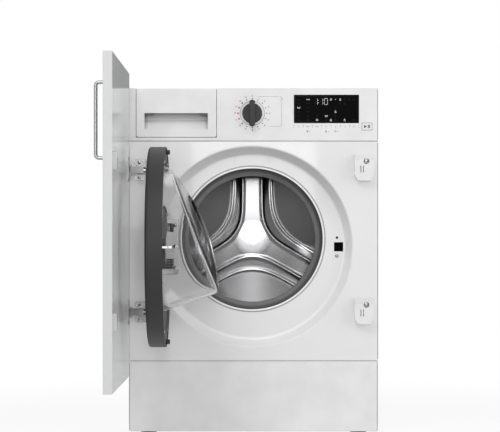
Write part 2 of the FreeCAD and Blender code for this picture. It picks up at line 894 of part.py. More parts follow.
def make_controls():
    """The display window, the board behind it, the knob and the start button."""
    window = pad("display_window", "XZ", rectangle(WINDOW_X, WINDOW_Z), (-0.4, S.window_glass))
    soften(window, 2.0, runs("Y"))
    soften(window, 0.3, lies("Y", -0.4))
    node("display_window", window)
    level = S.board_level
    board = block(
        "board_plate",
        (MIDDLE - 40, PANEL_HALF - S.fascia_wall - S.seat_gap),
        (level, level + S.board_gauge),
        (FASCIA_LOW + S.fascia_wall + S.seat_gap, TOP - S.fascia_wall - S.seat_gap),
    )
    screen = block(
        "board_screen",
        grow(WINDOW_X, -4.0),
        (S.window_glass + 1.5, level),
        grow(WINDOW_Z, -4.0),
    )
    knob = (MIDDLE, KNOB_HEIGHT)
    switch = block(
        "board_switch",
        (MIDDLE - 13, MIDDLE + 13),
        (S.fascia_wall + S.seat_gap, level),
        (KNOB_HEIGHT - 13, KNOB_HEIGHT + 13),
    )
    button_x = BUTTON_LEFT + S.button_width / 2
    button_z = BUTTON_FOOT + S.button_height / 2
    key = block(
        "board_key",
        (button_x - 3, button_x + 3),
        (level - 3, level),
        (button_z - 3, button_z + 3),
    )
    parts = plus("board_parts", board, screen, switch, key)
    bush = rod("board_bush", "Y", knob, S.knob_shaft + S.run_clear, (0.0, level + S.board_gauge + 1))
    node("control_board", minus("control_board", parts, bush))
    half_bar = S.knob_bar_width / 2
    long_bar = S.knob_bar_length / 2
    disc = turn(
        "knob_disc",
        "Y",
        knob,
        [
            (0.0, -S.knob_disc - 1.2),
            (S.knob_radius - 2, -S.knob_disc - 1.2),
            (S.knob_radius, -S.knob_disc + 0.8),
            (S.knob_radius, -1.2),
            (0.0, -1.2),
        ],
    )
    bar = pad(
        "knob_bar",
        "XZ",
        rectangle(
            (MIDDLE - half_bar, MIDDLE + half_bar),
            (KNOB_HEIGHT - long_bar, KNOB_HEIGHT + long_bar),
        ),
        (-S.knob_depth, -1.2),
    )
    soften(bar, half_bar * 0.8, runs("Y"))
    soften(bar, 2.2, lies("Y", -S.knob_depth))
    stem = rod("knob_stem", "Y", knob, S.knob_shaft, (-2.0, level - 2))
    node("programme_knob", plus("programme_knob", disc, bar, stem))
    cap = pad("button_cap", "XZ", rectangle(BUTTON_X, BUTTON_Z), (-1.0, 5.0))
    soften(cap, 2.0, runs("Y"))
    soften(cap, 0.5, lies("Y", -1.0))
    peg = rod(
        "button_peg",
        "Y",
        (button_x, button_z),
        3.0,
        (5.0, level - 3 - S.button_travel - S.seat_gap),
    )
    node("start_button", plus("start_button", cap, peg))


TRAY_X = (DRAWER_LEFT + S.tray_inset, DRAWER_RIGHT - S.tray_inset)
TRAY_Y = (S.drawer_front_depth, S.drawer_front_depth + S.tray_length)
TRAY_TOP = TRAY_FOOT + S.tray_height
HOUSING_X = grow(TRAY_X, S.housing_room)
HOUSING_Z = (TRAY_FOOT - S.housing_room - S.housing_wall, TRAY_TOP + S.housing_room + S.housing_wall)
HOUSING_BACK = TRAY_Y[1] + 20


def make_dispenser():
    """The detergent drawer and the housing that it runs in."""
    depth = S.drawer_front_depth
    face = pad(
        "drawer_face",
        "XZ",
        rectangle((DRAWER_LEFT, DRAWER_RIGHT), (DRAWER_FOOT, TOP - 1)),
        (0.0, depth),
    )
    soften(face, 5.0, both(runs("Y"), lies("Z", DRAWER_FOOT)))
    soften(face, 1.2, lies("Y", 0.0))
    foot = GRIP_FOOT
    high = GRIP_FOOT + S.grip_height
    scoop = pad(
        "drawer_scoop",
        "YZ",
        [
            (-1.0, foot - 0.5),
            (S.grip_depth, high - 16),
            (S.grip_depth, high + 5),
            (5.0, high + 5),
            (3.0, high),
            (-1.0, high),
        ],
        (GRIP_LEFT, GRIP_LEFT + S.grip_width),
    )
    soften(scoop, 3.0, lambda edge: runs("X")(edge) and edge.BoundBox.YMin > S.grip_depth.value - 0.1)
    node("drawer_front", minus("drawer_front", face, scoop))
    wall = S.tray_wall
    body = pad("drawer_tray", "XZ", rectangle(TRAY_X, (TRAY_FOOT, TRAY_TOP)), TRAY_Y)
    width = TRAY_X[1] - TRAY_X[0]
    marks = [TRAY_X[0], TRAY_X[0] + width * 0.46, TRAY_X[0] + width * 0.74, TRAY_X[1]]
    for n in range(3):
        bay = rectangle(
            (marks[n] + wall / (1 if n == 0 else 2), marks[n + 1] - wall / (1 if n == 2 else 2)),
            (TRAY_Y[0] + wall, TRAY_Y[1] - wall),
        )
        carve(body, "XY", bay, (TRAY_FOOT + wall, TRAY_TOP))
    soften(body, 6.0, both(runs("Z"), lambda edge: edge.BoundBox.ZLength < S.tray_height.value - 1))
    node("drawer_tray", body)
    shell = S.housing_wall
    front = S.fascia_depth + S.seat_gap
    housing = pad("housing_shell", "XZ", rectangle(HOUSING_X, HOUSING_Z), (front, HOUSING_BACK))
    soften(housing, 5.0, runs("Y"))
    room = rectangle(grow(HOUSING_X, -shell), grow(HOUSING_Z, -shell))
    carve(housing, "XZ", room, (front, HOUSING_BACK - shell))
    low = HOUSING_Z[0]
    rails = []
    for n, x in enumerate((TRAY_X[0] + 12, TRAY_X[1] - 12)):
        rails.append(
            block(
                f"housing_rail_{n}",
                (x - 3, x + 3),
                (front, HOUSING_BACK - shell),
                (low + shell, TRAY_FOOT - S.seat_gap),
            )
        )
    spout = rod("housing_spout", "Z", (S.hose_x, S.hose_y), S.hose_radius, (low - 12, low))
    drain = rod("housing_drain", "Z", (S.hose_x, S.hose_y), S.hose_radius - 3, (low - 13, low + shell))
    whole = plus("housing_whole", housing, spout, *rails)
    node("drawer_housing", minus("drawer_housing", whole, drain))


def make_catches():
    """The two magnet catches on the right of the front panel."""
    half = S.catch_width / 2
    left = CATCH_X - half
    right = CATCH_X + half
    deep = -S.catch_depth
    catches = []
    for n, foot in enumerate((CATCH_FOOT, CATCH_FOOT - S.catch_spacing)):
        high = foot + S.catch_height
        outline = [
            (left + 9, foot),
            (right - 9, foot),
            (right, foot + 14),
            (right, high),
            (left, high),
            (left, foot + 14),
        ]
        face = pad(f"catch_face_{n}", "XZ", outline, (deep, 0.0))
        profile = [
            (0.0, foot),
            (0.0, high),
            (-2.5, high),
            (deep, high - 14),
            (deep, foot + 2),
            (deep + 2, foot),
        ]
        side = pad(f"catch_side_{n}", "YZ", profile, (left, right))
        shape = shared(f"catch_shape_{n}", face, side)
        slots = []
        for k, x in enumerate((-8.5, -2.3)):
            slots.append(
                block(
                    f"catch_slot_{n}_{k}",
                    (CATCH_X + x - 1.0, CATCH_X + x + 1.0),
                    (deep - 1, deep + 8),
                    (foot + 20, foot + 36),
                )
            )
        well = rod(f"catch_well_{n}", "Y", (CATCH_X + 5, high - 16), 7.0, (deep - 8, deep + 7))
        catches.append(minus(f"catch_{n}", shape, well, *slots))
    node("magnet_catches", together("magnet_catches", *catches))


LEAF_PIN_X = S.leaf_pin_inset - S.leaf_width / 2
LEAF_PIN_Y = -S.leaf_pin_ahead
LEAF_INSIDE = -S.leaf_gap
LEAF_OUTSIDE = LEAF_INSIDE - S.leaf_gauge
RIM_PIN_X = S.rim_pin_x
RIM_PIN_Y = -S.rim_pin_ahead
NOTCH_SIDE = S.rim_pin_x + 25
HINGES = (UPPER_HINGE, LOWER_HINGE)
CUP_X = S.cup_inset - S.leaf_width / 2


def make_leaf_arms():
    """The fixed arms of the furniture hinges: a lobed plate, a bent arm and a knuckle each."""
    arms = []
    half = S.arm_height / 2
    for n, height in enumerate(HINGES):
        x = LEAF_PIN_X
        plate = pad(
            f"arm_plate_{n}",
            "XZ",
            [
                (x + 9, height + 14),
                (x + 22, height + half),
                (x + 22, height - half),
                (x + 9, height - 14),
                (x + 9, height - 25),
                (x + 66, height - 25),
                (x + 66, height + 25),
                (x + 9, height + 25),
            ],
            (-2.5, 0.0),
        )
        soften(plate, 5.0, lambda edge: runs("Y")(edge) and abs(edge.BoundBox.Center.z - height.value) > 12)
        drill(plate, "XZ", [(x + 20, height + 18), (x + 20, height - 18)], 3.2, (-2.5, 0.0))
        top = LEAF_PIN_Y
        bend = pad(
            f"arm_bend_{n}",
            "XY",
            [
                (x + 64, -2.5),
                (x + 64, -12.0),
                (x + 36, -14.5),
                (x + 3.4, top - 2.6),
                (x - 2.5, top + 3.6),
                (x + 30, -5.5),
                (x + 30, -2.5),
            ],
            (height - half, height + half),
        )
        knuckle = rod(f"arm_knuckle_{n}", "Z", (x, top), S.leaf_knuckle, (height - half, height + half))
        whole = plus(f"arm_whole_{n}", plate, bend, knuckle)
        hole = rod(
            f"arm_hole_{n}", "Z", (x, top), S.leaf_pin, (height - half - 1, height + half + 1)
        )
        slot = block(f"arm_slot_{n}", (x + 38, x + 58), (-16, -9.5), (height - 5, height + 5))
        arms.append(minus(f"arm_{n}", whole, hole, slot))
    node("furniture_hinge_arms", together("furniture_hinge_arms", *arms))


EAR_LOW = S.arm_height / 2 + S.seat_gap
EAR_HIGH = EAR_LOW + S.ear_gauge


def make_cups():
    """The door halves of the furniture hinges: a cup, its flange and two ears on the pin."""
    cups = []
    for n, height in enumerate(HINGES):
        cup = turn(
            f"cup_bowl_{n}",
            "Y",
            (CUP_X, height),
            [
                (0.0, LEAF_INSIDE - S.cup_depth),
                (S.cup_radius - S.seat_gap, LEAF_INSIDE - S.cup_depth),
                (S.cup_radius - S.seat_gap, LEAF_INSIDE + S.flange_gauge),
                (S.cup_radius - 1.5, LEAF_INSIDE + S.flange_gauge),
                (S.cup_radius - 1.5, LEAF_INSIDE - S.cup_depth + 1.2),
                (0.0, LEAF_INSIDE - S.cup_depth + 1.2),
            ],
        )
        flange = pad(
            f"cup_flange_{n}",
            "XZ",
            rectangle((CUP_X - 9, CUP_X + 18), (height - 29, height + 29)),
            (LEAF_INSIDE, LEAF_INSIDE + S.flange_gauge),
        )
        soften(flange, 7.0, runs("Y"))
        gauge = (LEAF_INSIDE, LEAF_INSIDE + S.flange_gauge)
        drill(flange, "XZ", [(CUP_X, height)], S.cup_radius - 1.5, gauge)
        drill(flange, "XZ", [(CUP_X + 4, height + 23), (CUP_X + 4, height - 23)], 2.6, gauge)
        ears = []
        below = (height - EAR_HIGH, height - EAR_LOW)
        above = (height + EAR_LOW, height + EAR_HIGH)
        for k, z in enumerate((below, above)):
            knuckle = rod(f"cup_knuckle_{n}_{k}", "Z", (LEAF_PIN_X, LEAF_PIN_Y), S.leaf_knuckle, z)
            lug = block(f"cup_lug_{n}_{k}", (LEAF_PIN_X, CUP_X - 6), (LEAF_INSIDE, LEAF_INSIDE + 4), z)
            ears.extend((knuckle, lug))
        whole = plus(f"cup_whole_{n}", cup, flange, *ears)
        hole = rod(
            f"cup_hole_{n}",
            "Z",
            (LEAF_PIN_X, LEAF_PIN_Y),
            S.leaf_pin + S.run_clear,
            (height - EAR_HIGH - 1, height + EAR_HIGH + 1),
        )
        cups.append(minus(f"cup_{n}", whole, hole))
    group = together("hinge_cups", *cups)
    node("hinge_cups", open_out(group, LEAF_PIN_X, LEAF_PIN_Y))


def make_pins():
    """The upright pins of the furniture hinges and of the porthole hinge."""
    pins = []
    for n, height in enumerate(HINGES):
        span = (height - EAR_HIGH, height + EAR_HIGH)
        pins.append(rod(f"leaf_pin_{n}", "Z", (LEAF_PIN_X, LEAF_PIN_Y), S.leaf_pin, span))
    reach = S.rim_hinge_half - 4
    span = (DISH_HEIGHT - reach, DISH_HEIGHT + reach)
    pins.append(rod("rim_pin_rod", "Z", (RIM_PIN_X, RIM_PIN_Y), S.rim_pin, span))
    node("hinge_pins", together("hinge_pins", *pins))


STRIKE_BACK = -S.catch_depth - S.strike_gap


def make_leaf():
    """The furniture door panel, bored for its hinges, with its strike plates and its pull."""
    half = S.leaf_width / 2
    high = S.leaf_foot + S.leaf_height
    panel = pad(
        "leaf_panel",
        "XZ",
        rectangle((-half, half), (S.leaf_foot, high)),
        (LEAF_OUTSIDE, LEAF_INSIDE),
    )
    soften(panel, 1.5, lies("Y", LEAF_OUTSIDE))
    soften(panel, 1.0, lies("Y", LEAF_INSIDE))
    centres = [(CUP_X, height) for height in HINGES]
    drill(panel, "XZ", centres, S.cup_radius, (LEAF_INSIDE - S.cup_depth - S.seat_gap, LEAF_INSIDE))
    for height in HINGES:
        z = (height - EAR_HIGH - 1, height + EAR_HIGH + 1)
        notch = (LEAF_PIN_Y - S.leaf_knuckle - S.seat_gap, LEAF_INSIDE)
        carve(panel, "XZ", rectangle((-half - 1, CUP_X - 6), z), notch)
    node("furniture_panel", open_out(panel, LEAF_PIN_X, LEAF_PIN_Y))
    plates = []
    for n, foot in enumerate((CATCH_FOOT, CATCH_FOOT - S.catch_spacing)):
        x = (CATCH_X - 20, CATCH_X + 20)
        z = (foot + 6, foot + 46)
        plate = pad(f"strike_plate_{n}", "XZ", rectangle(x, z), (LEAF_INSIDE, STRIKE_BACK))
        soften(plate, 6.0, runs("Y"))
        soften(plate, 0.8, lies("Y", STRIKE_BACK))
        plates.append(plate)
    group = together("strike_plates", *plates)
    node("strike_plates", open_out(group, LEAF_PIN_X, LEAF_PIN_Y))
    make_pull(half)


def make_pull(half):
    """The bow handle on the outside of the furniture door: one bent round bar."""
    x = half - S.pull_inset
    bar = S.pull_bar
    foot = LEAF_OUTSIDE
    far = LEAF_OUTSIDE - S.pull_rise + bar
    bend = bar * 1.75
    low = PULL_FOOT
    high = PULL_FOOT + S.pull_span
    legs = []
    for n, height in enumerate((low, high)):
        legs.append(rod(f"pull_leg_{n}", "Y", (x, height), bar, (far + bend, foot)))
    grip = rod("pull_grip", "Z", (x, far), bar, (low + bend, high - bend))
    elbows = []
    for n, (height, start) in enumerate(((low + bend, 180.0), (high - bend, 90.0))):
        elbow = doc.addObject("Part::Torus", f"pull_elbow_{n}")
        drive(elbow, "Radius1", bend)
        drive(elbow, "Radius2", bar)
        elbow.Angle3 = 90.0
        turned = Rotation(Vector(0, 1, 0), Vector(0, 0, 1), Vector(1, 0, 0))
        spin = Rotation(Vector(0, 0, 1), start)
        place(elbow, x, far + bend, height, turned * spin)
        elbows.append(elbow)
    pull = plus("furniture_handle", grip, *legs, *elbows)
    node("furniture_handle", open_out(pull, LEAF_PIN_X, LEAF_PIN_Y))


def make_porthole():
    """The porthole door: rim, window, inner ring, glass bowl, latch hook and hinge arms."""
    front = -S.rim_front
    back = S.rim_back
    rim = S.rim_radius
    wall = S.rim_wall
    frame = turn(
        "rim_shell",
        "Y",
        DISH,
        [
            (S.window_radius, front),
            (rim, front),
            (rim, back),
            (rim - wall, back),
            (rim - wall, front + wall),
            (S.window_radius, front + wall),
        ],
    )
    soften(frame, S.rim_round, rings(rim, front))
    soften(frame, 1.5, rings(S.window_radius, front))
    notch = block(
        "rim_notch",
        (MIDDLE - rim - 8, NOTCH_SIDE),
        (RIM_PIN_Y - S.rim_knuckle - 1.5, back + 1),
        (DISH_HEIGHT - S.rim_hinge_half - 3, DISH_HEIGHT + S.rim_hinge_half + 3),
    )
    open_pin = (RIM_PIN_X, RIM_PIN_Y)
    node("porthole_frame", open_out(minus("porthole_frame", frame, notch), *open_pin))
    lens = turn(
        "porthole_window",
        "Y",
        DISH,
        [
            (0.0, front - 2.0),
            (S.window_radius - S.seat_gap, front + 0.6),
            (S.window_radius - S.seat_gap, front + wall),
            (S.window_radius + 9, front + wall),
            (S.window_radius + 9, front + wall + 2.5),
            (0.0, front + wall),
        ],
    )
    node("porthole_window", open_out(lens, *open_pin))
    seat = S.bowl_back
    edge = rim - wall - S.seat_gap
    ledge = S.flange_radius - S.flange_ledge
    throat = S.bowl_radius + 24
    inner = turn(
        "ring_body",
        "Y",
        DISH,
        [
            (throat, seat),
            (edge, seat),
            (edge, S.flange_back - 1),
            (S.flange_radius, S.flange_back),
            (ledge, S.flange_back),
            (throat, S.web_back),
        ],
    )
    web = rod("ring_web", "Y", DISH, throat + 2, (seat, S.web_back))
    bumps = []
    for n, sign in enumerate((1, -1)):
        spot_z = DISH_HEIGHT + sign * S.peg_ring
        peg = turn(
            f"ring_peg_{n}",
            "Y",
            (MIDDLE, spot_z),
            [
                (0.0, seat + 1),
                (S.peg_radius, seat + 1),
                (S.peg_radius, S.flange_back + S.peg_rise),
                (0.0, S.flange_back + S.peg_rise),
            ],
        )
        soften(peg, 2.0, rings(S.peg_radius, S.flange_back + S.peg_rise))
        bumps.append(peg)
    post_x = (LATCH_X - 5, LATCH_X + 6)
    post_z = (DISH_HEIGHT - 29, DISH_HEIGHT - 15)
    bumps.append(block("ring_post", post_x, (seat + 1, S.flange_back + 3), post_z))
    hole = rod("ring_hole", "Y", MOUTH, S.bowl_radius + S.seat_gap, (seat - 1, S.flange_back + 1))
    ring = plus("ring_whole", inner, web, *bumps)
    ring_notch = block(
        "ring_notch",
        (MIDDLE - rim - 8, NOTCH_SIDE),
        (seat - 1, S.flange_back + 1),
        (DISH_HEIGHT - S.rim_hinge_half - 3, DISH_HEIGHT + S.rim_hinge_half + 3),
    )
    node("porthole_inner_ring", open_out(minus("porthole_inner_ring", ring, hole, ring_notch), *open_pin))
    make_bowl(open_pin)
    make_latch(open_pin)
    make_rim_hinge(open_pin)


def make_bowl(open_pin):
    """The glass bowl: a shallow cone, cut off on a slant, rounded and hollowed from its rim."""
    rim = S.bowl_radius
    seat = S.bowl_back
    full = 150.0
    cone = turn(
        "bowl_solid",
        "Y",
        MOUTH,
        [
            (0.0, seat),
            (rim, seat),
            (rim - S.bowl_taper * full, seat + full),
            (0.0, seat + full),
        ],
    )
    reach = S.rim_back + S.bowl_reach
    bottom = -rim - 20
    top = rim + 20
    slant = [reach - S.bowl_tilt * (height + S.bowl_dip) for height in (bottom, top)]
    far = slant[0] + 20
    carve(
        cone,
        "YZ",
        [(slant[0], bottom), (far, bottom), (far, top), (slant[1], top)],
        (-rim - 10, rim + 10),
    )
    soften(
        cone,
        S.bowl_round,
        lambda edge: edge.Curve.TypeId != "Part::GeomLine" and edge.BoundBox.YMax > 30,
    )
    doc.recompute()
    tip = cone.Tip
    mouth_faces = [
        f"Face{n}"
        for n, face in enumerate(tip.Shape.Faces, 1)
        if abs(face.BoundBox.YMax - seat.value) < 0.01
    ]
    hollow = cone.newObject("PartDesign::Thickness", "bowl_hollow")
    hollow.Base = (tip, mouth_faces)
    drive(hollow, "Value", S.bowl_wall)
    hollow.Reversed = True
    flange = tube(
        "bowl_flange", "Y", MOUTH, rim + 12, rim - S.bowl_wall, (seat - S.bowl_wall, seat)
    )
    node("porthole_glass", open_out(plus("porthole_glass", cone, flange), *open_pin))


def make_latch(open_pin):
    """The hook on the free side of the porthole door and the lock behind the front panel."""
    x = LATCH_X
    height = DISH_HEIGHT
    root_level = S.flange_back
    tip = root_level + S.latch_reach
    hook = pad(
        "latch_hook",
        "XY",
        [
            (x - 8, root_level),
            (x + 4, root_level),
            (x + 4, tip - 9),
            (x + 8, tip - 7),
            (x + 2, tip),
            (x - 4, tip),
            (x - 4, root_level + 6),
            (x - 8, root_level + 3),
        ],
        (height - 2.3, height + 2.3),
    )
    soften(hook, 0.8, lambda edge: runs("Z")(edge) and edge.BoundBox.YMin > root_level.value + 8)
    node("latch_hook", open_out(hook, *open_pin))
    half = S.latch_slot / 2
    case = block(
        "lock_case",
        (x - half - 8, x + half + 9),
        (DISH_BACK + S.seat_gap, DISH_BACK + 34),
        (height - 32, height + 34),
    )
    room = block(
        "lock_room",
        (x - half, x + half),
        (DISH_BACK, tip + 6),
        (height - half, height + half),
    )
    node("door_lock", minus("door_lock", case, room))


def make_rim_hinge(open_pin):
    """The porthole hinge: a bracket on the dish, its upright pin and the arms on the rim."""
    x = RIM_PIN_X
    y = RIM_PIN_Y
    height = DISH_HEIGHT
    reach = S.rim_hinge_half
    floor = S.dish_depth
    plate = pad(
        "bracket_plate",
        "XZ",
        rectangle((x + 8, x + 44), (height - reach, height + reach)),
        (floor - 2.5, floor),
    )
    soften(plate, 6.0, runs("Y"))
    lugs = []
    spans = []
    for sign in (-1, 1):
        for low, high in ((40.0, 48.0), (58.0, 66.0)):
            spans.append(sorted((sign * low, sign * high)))
    for n, (low, high) in enumerate(spans):
        z = (height + low, height + high)
        lug = pad(
            f"bracket_lug_{n}",
            "XY",
            [
                (x + 9, floor - 2),
                (x - 4.4, y + 3.2),
                (x + 4.4, y - 3.2),
                (x + 21, floor - 2),
            ],
            z,
        )
        knuckle = rod(f"bracket_knuckle_{n}", "Z", (x, y), S.rim_knuckle, z)
        lugs.extend((lug, knuckle))
    whole = plus("bracket_whole", plate, *lugs)
    hole = rod("bracket_hole", "Z", (x, y), S.rim_pin, (height - reach - 1, height + reach + 1))
    node("porthole_hinge_bracket", minus("porthole_hinge_bracket", whole, hole))
    base_x = NOTCH_SIDE
    arms = []
    for n, sign in enumerate((-1, 1)):
        low, high = sorted((sign * 48.3, sign * 57.7))
        z = (height + low, height + high)
        arm = pad(
            f"rim_arm_{n}",
            "XY",
            [
                (x + 3.0, y - 4.6),
                (base_x + 12, y - 4.6),
                (base_x + 12, S.bowl_back - S.seat_gap),
                (base_x + 1, S.bowl_back - S.seat_gap),
                (x + 1.0, y + 5.4),
            ],
            z,
        )
        knuckle = rod(f"rim_knuckle_{n}", "Z", (x, y), S.rim_knuckle, z)
        arms.extend((arm, knuckle))
    tie = block(
        "rim_tie",
        (base_x + 2, base_x + 12),
        (y - 4.6, S.bowl_back - S.seat_gap),
        (height - 57.7, height + 57.7),
    )
    moving = plus("rim_arms_whole", tie, *arms)
    bore = rod("rim_arm_hole", "Z", (x, y), S.rim_pin + S.run_clear, (height - 70, height + 70))
    node("porthole_hinge_arms", open_out(minus("porthole_hinge_arms", moving, bore), *open_pin))


def make_gasket():
    """The bellows gasket between the mouth of the front panel and the mouth of the tub."""
    outer = S.mouth_radius - S.seat_gap
    rear = S.tub_mouth - S.seat_gap
    front = S.dish_depth + 1.5
    tub = S.tub_front
    body = turn(
        "door_gasket",
        "Y",
        MOUTH,
        [
            (outer, front),
            (outer - 5.5, front),
            (outer - 9, front + 5),
            (outer - 9, front + 21),
            (outer - 24, front + 26),
            (outer - 24, front + 30),
            (rear - 6, tub - 15),
            (rear - 6, tub),
            (rear, tub),
            (rear, tub - 19),
            (outer - 5.5, front + 22),
            (outer - 5.5, front + 8),
            (outer, front + 5),
        ],
    )
    soften(body, 1.8, rings(outer - 24, front + 26))
    soften(body, 2.5, rings(outer - 9, front + 5))
    node("door_gasket", body)


def make_tub():
    """The tub in two halves, joined by a flange, with its spring ears and its sump spout."""
    radius = S.tub_radius
    wall = S.tub_wall
    front = S.tub_front
    seam = S.tub_seam
    back = TUB_BACK
    edge = radius + S.tub_flange
    shell = turn(
        "tub_front_shell",
        "Y",
        MOUTH,
        [
            (S.tub_mouth, front - S.tub_collar),
            (S.tub_mouth + wall, front - S.tub_collar),
            (S.tub_mouth + wall, front),
            (radius, front),
            (radius, seam - 6),
            (edge, seam - 6),
            (edge, seam),
            (radius - wall, seam),
            (radius - wall, front + wall),
            (S.tub_mouth, front + wall),
        ],
    )
    soften(shell, 10.0, rings(radius, front))
    drop = root((radius - 8) * (radius - 8) - (S.pump_x - MIDDLE) * (S.pump_x - MIDDLE))
    sump_top = MOUTH_HEIGHT - drop
    sump = (S.pump_x, S.sump_y)
    spout = rod("tub_spout", "Z", sump, S.sump_radius, (sump_top - 30, sump_top))
    drain = rod("tub_drain", "Z", sump, S.sump_radius - 3, (sump_top - 31, sump_top + 20))
    vent_x = S.duct_left + 28
    vent = rod("tub_vent", "Y", (vent_x, VENT_HEIGHT), S.vent_radius, (front - 1, front + wall + 1))
    room = rod("tub_front_room", "Y", MOUTH, radius - wall, (front + wall, seam))
    shell_spout = plus("tub_front_whole", shell, minus("tub_spout_outside", spout, room))
    node("tub_front", minus("tub_front", shell_spout, drain, vent))
    hub = back + S.hub_length
    bore = S.bearing_radius
    shaft = S.shaft_radius + 4
    rear = turn(
        "tub_rear_shell",
        "Y",
        MOUTH,
        [
            (shaft, back - wall),
            (radius - wall, back - wall),
            (radius - wall, seam),
            (edge, seam),
            (edge, seam + 6),
            (radius, seam + 6),
            (radius, back),
            (S.hub_radius, back),
            (S.hub_radius, hub),
            (bore, hub),
            (bore, back + 3),
            (shaft, back + 3),
        ],
    )
    soften(rear, 12.0, rings(radius, back))
    ears = []
    holes = []
    for n, sign in enumerate((-1, 1)):
        x = MIDDLE + sign * SPRING_OFFSET
        span = sorted((x - sign * 45, x + sign * 14), key=lambda size: size.value)
        y = (SPRING_Y - 14, SPRING_Y + 14)
        ears.append(block(f"tub_ear_{n}", span, y, (EAR_LEVEL, EAR_LEVEL + S.ear_height)))
        through = (EAR_LEVEL - 1, EAR_LEVEL + S.ear_height + 1)
        holes.append(rod(f"tub_ear_hole_{n}", "Z", (x, SPRING_Y), 5.0, through))
    inlet_drop = root((radius - 8) * (radius - 8) - (S.hose_x - MIDDLE) * (S.hose_x - MIDDLE))
    inlet = MOUTH_HEIGHT + inlet_drop
    pipe = rod("tub_inlet", "Z", (S.hose_x, S.hose_y), S.hose_radius, (inlet, inlet + 30))
    pipe_hole = rod(
        "tub_inlet_hole",
        "Z",
        (S.hose_x, S.hose_y),
        S.hose_radius - 3,
        (inlet - 30, inlet + 31),
    )
    cavity = rod("tub_cavity", "Y", MOUTH, radius - wall, (seam, back - wall))
    bits = minus("tub_bits", plus("tub_added", pipe, *ears), cavity)
    node("tub_rear", minus("tub_rear", plus("tub_rear_whole", rear, bits), pipe_hole, *holes))
    make_tub_hoses(sump_top, inlet)


def bellows(name, centre, radius, span, ribs):
    """A ribbed hose: steps of two radii along z, with its bore."""
    low, high = span
    pitch = (high - low) / (2 * ribs + 1)
    outside = []
    for n in range(2 * ribs + 1):
        size = radius if n % 2 == 0 else radius + 4
        outside.append((size, low + pitch * n))
        outside.append((size, low + pitch * (n + 1)))
    profile = outside + [(radius - 3, high), (radius - 3, low)]
    return turn(name, "Z", centre, profile)


def make_tub_hoses(sump_top, inlet):
    """The ribbed hoses from the dispenser to the tub and from the tub to the pump."""
    upper = (inlet + 30 + S.seat_gap, HOUSING_Z[0] - 12 - S.seat_gap)
    fill = bellows("hose_fill", (S.hose_x, S.hose_y), S.hose_radius, upper, 3)
    lower = (S.pump_height + S.filter_radius + 14 + S.seat_gap, sump_top - 30 - S.seat_gap)
    drain = bellows("hose_drain", (S.pump_x, S.sump_y), S.sump_radius, lower, 5)
    node("internal_hoses", together("internal_hoses", fill, drain))


def polar(radius, degrees):
    """A point about the origin, with a driven radius and a fixed bearing."""
    return (radius * math.cos(math.radians(degrees)), radius * math.sin(math.radians(degrees)))


def make_weights():
    """The concrete counterweights: a crescent under the tub mouth and a block on top."""
    radius = S.tub_radius
    outer = radius - 2
    inner = S.tub_mouth + S.tub_wall + 6
    depth = (S.tub_front - S.weight_depth, S.tub_front)
    ring = tube("weight_ring", "Y", MOUTH, outer, inner, depth)
    low = MOUTH_HEIGHT - radius
    cutter = block(
        "weight_half",
        (MIDDLE - radius, MIDDLE + radius),
        (depth[0] - 1, depth[1] + 1),
        (low, MOUTH_HEIGHT - inner * 0.45),
    )
    crescent = shared("weight_crescent", ring, cutter)
    start = TUB_BACK - S.weight_back
    span = (start, start + S.weight_length)
    top = block(
        "weight_block",
        (MIDDLE - S.weight_left, MIDDLE - S.weight_right),
        span,
        (TUB_TOP - S.weight_drop, TUB_TOP + S.weight_rise),
    )
    hollow = rod("weight_seat", "Y", MOUTH, radius + S.seat_gap, (span[0] - 1, span[1] + 1))
    node("counterweights", together("counterweights", crescent, minus("weight_top", top, hollow)))


def make_heater():
    """The wash heater: a bent rod under the drum, on a flange in the back of the tub."""
    mid = (S.tub_radius - S.tub_wall + DRUM_RADIUS) / 2
    height = MOUTH_HEIGHT - root(mid * mid - 20.0 * 20.0)
    back = TUB_BACK
    front = S.tub_front + S.heater_clear
    rods = []
    for n, sign in enumerate((-1, 1)):
        axis = (MIDDLE + sign * 20, height)
        rods.append(rod(f"heater_rod_{n}", "Y", axis, 3.5, (front, back - S.tub_wall)))
    bend = doc.addObject("Part::Torus", "heater_bend")
    bend.Radius1 = 20.0
    bend.Radius2 = 3.5
    bend.Angle3 = 180.0
    place(bend, MIDDLE, front, height, Rotation(Vector(0, 0, 1), 180))
    node("wash_heater", plus("wash_heater", bend, *rods))


LOBES = (30.0, 150.0, 270.0)
ARMS = (90.0, 210.0, 330.0)


def make_drum():
    """The drum: a rolled shell, a pressed back with three lobes, lifters, spider and pulley."""
    radius = DRUM_RADIUS
    gauge = S.drum_gauge
    front = S.drum_front
    edge = DRUM_EDGE
    mouth = S.drum_mouth
    shell = turn(
        "drum_shell",
        "Y",
        MOUTH,
        [
            (radius, edge),
            (radius, front + 8),
            (radius - 6, front + 2),
            (mouth + 5, front),
            (mouth, front + 3),
            (mouth, front + 9),
            (mouth + gauge, front + 9),
            (mouth + gauge, front + 3.6),
            (mouth + 5.4, front + gauge),
            (radius - 6.4, front + 2 + gauge),
            (radius - gauge, front + 8.4),
            (radius - gauge, edge),
        ],
    )
    node("drum_shell", shell)
    make_drum_back()
    lifters = []
    base = radius - gauge - S.seat_gap
    half = S.lifter_width / 2
    for n, bearing in enumerate(LOBES):
        low = root(base * base - half * half)
        body = pad(
            f"lifter_{n}",
            "XZ",
            [
                (-half, low),
                (half, low),
                (half * 0.35, low - S.lifter_height),
                (-half * 0.35, low - S.lifter_height),
            ],
            (front + 26, DRUM_FLOOR - 8),
        )
        soften(body, 8.0, both(runs("Y"), lies("Z", low - S.lifter_height)))
        place(body, MIDDLE, 0.0, MOUTH_HEIGHT, Rotation(Vector(0, 1, 0), 90.0 - bearing))
        lifters.append(body)
    node("drum_lifters", together("drum_lifters", *lifters))
    make_spider()
    make_pulley()


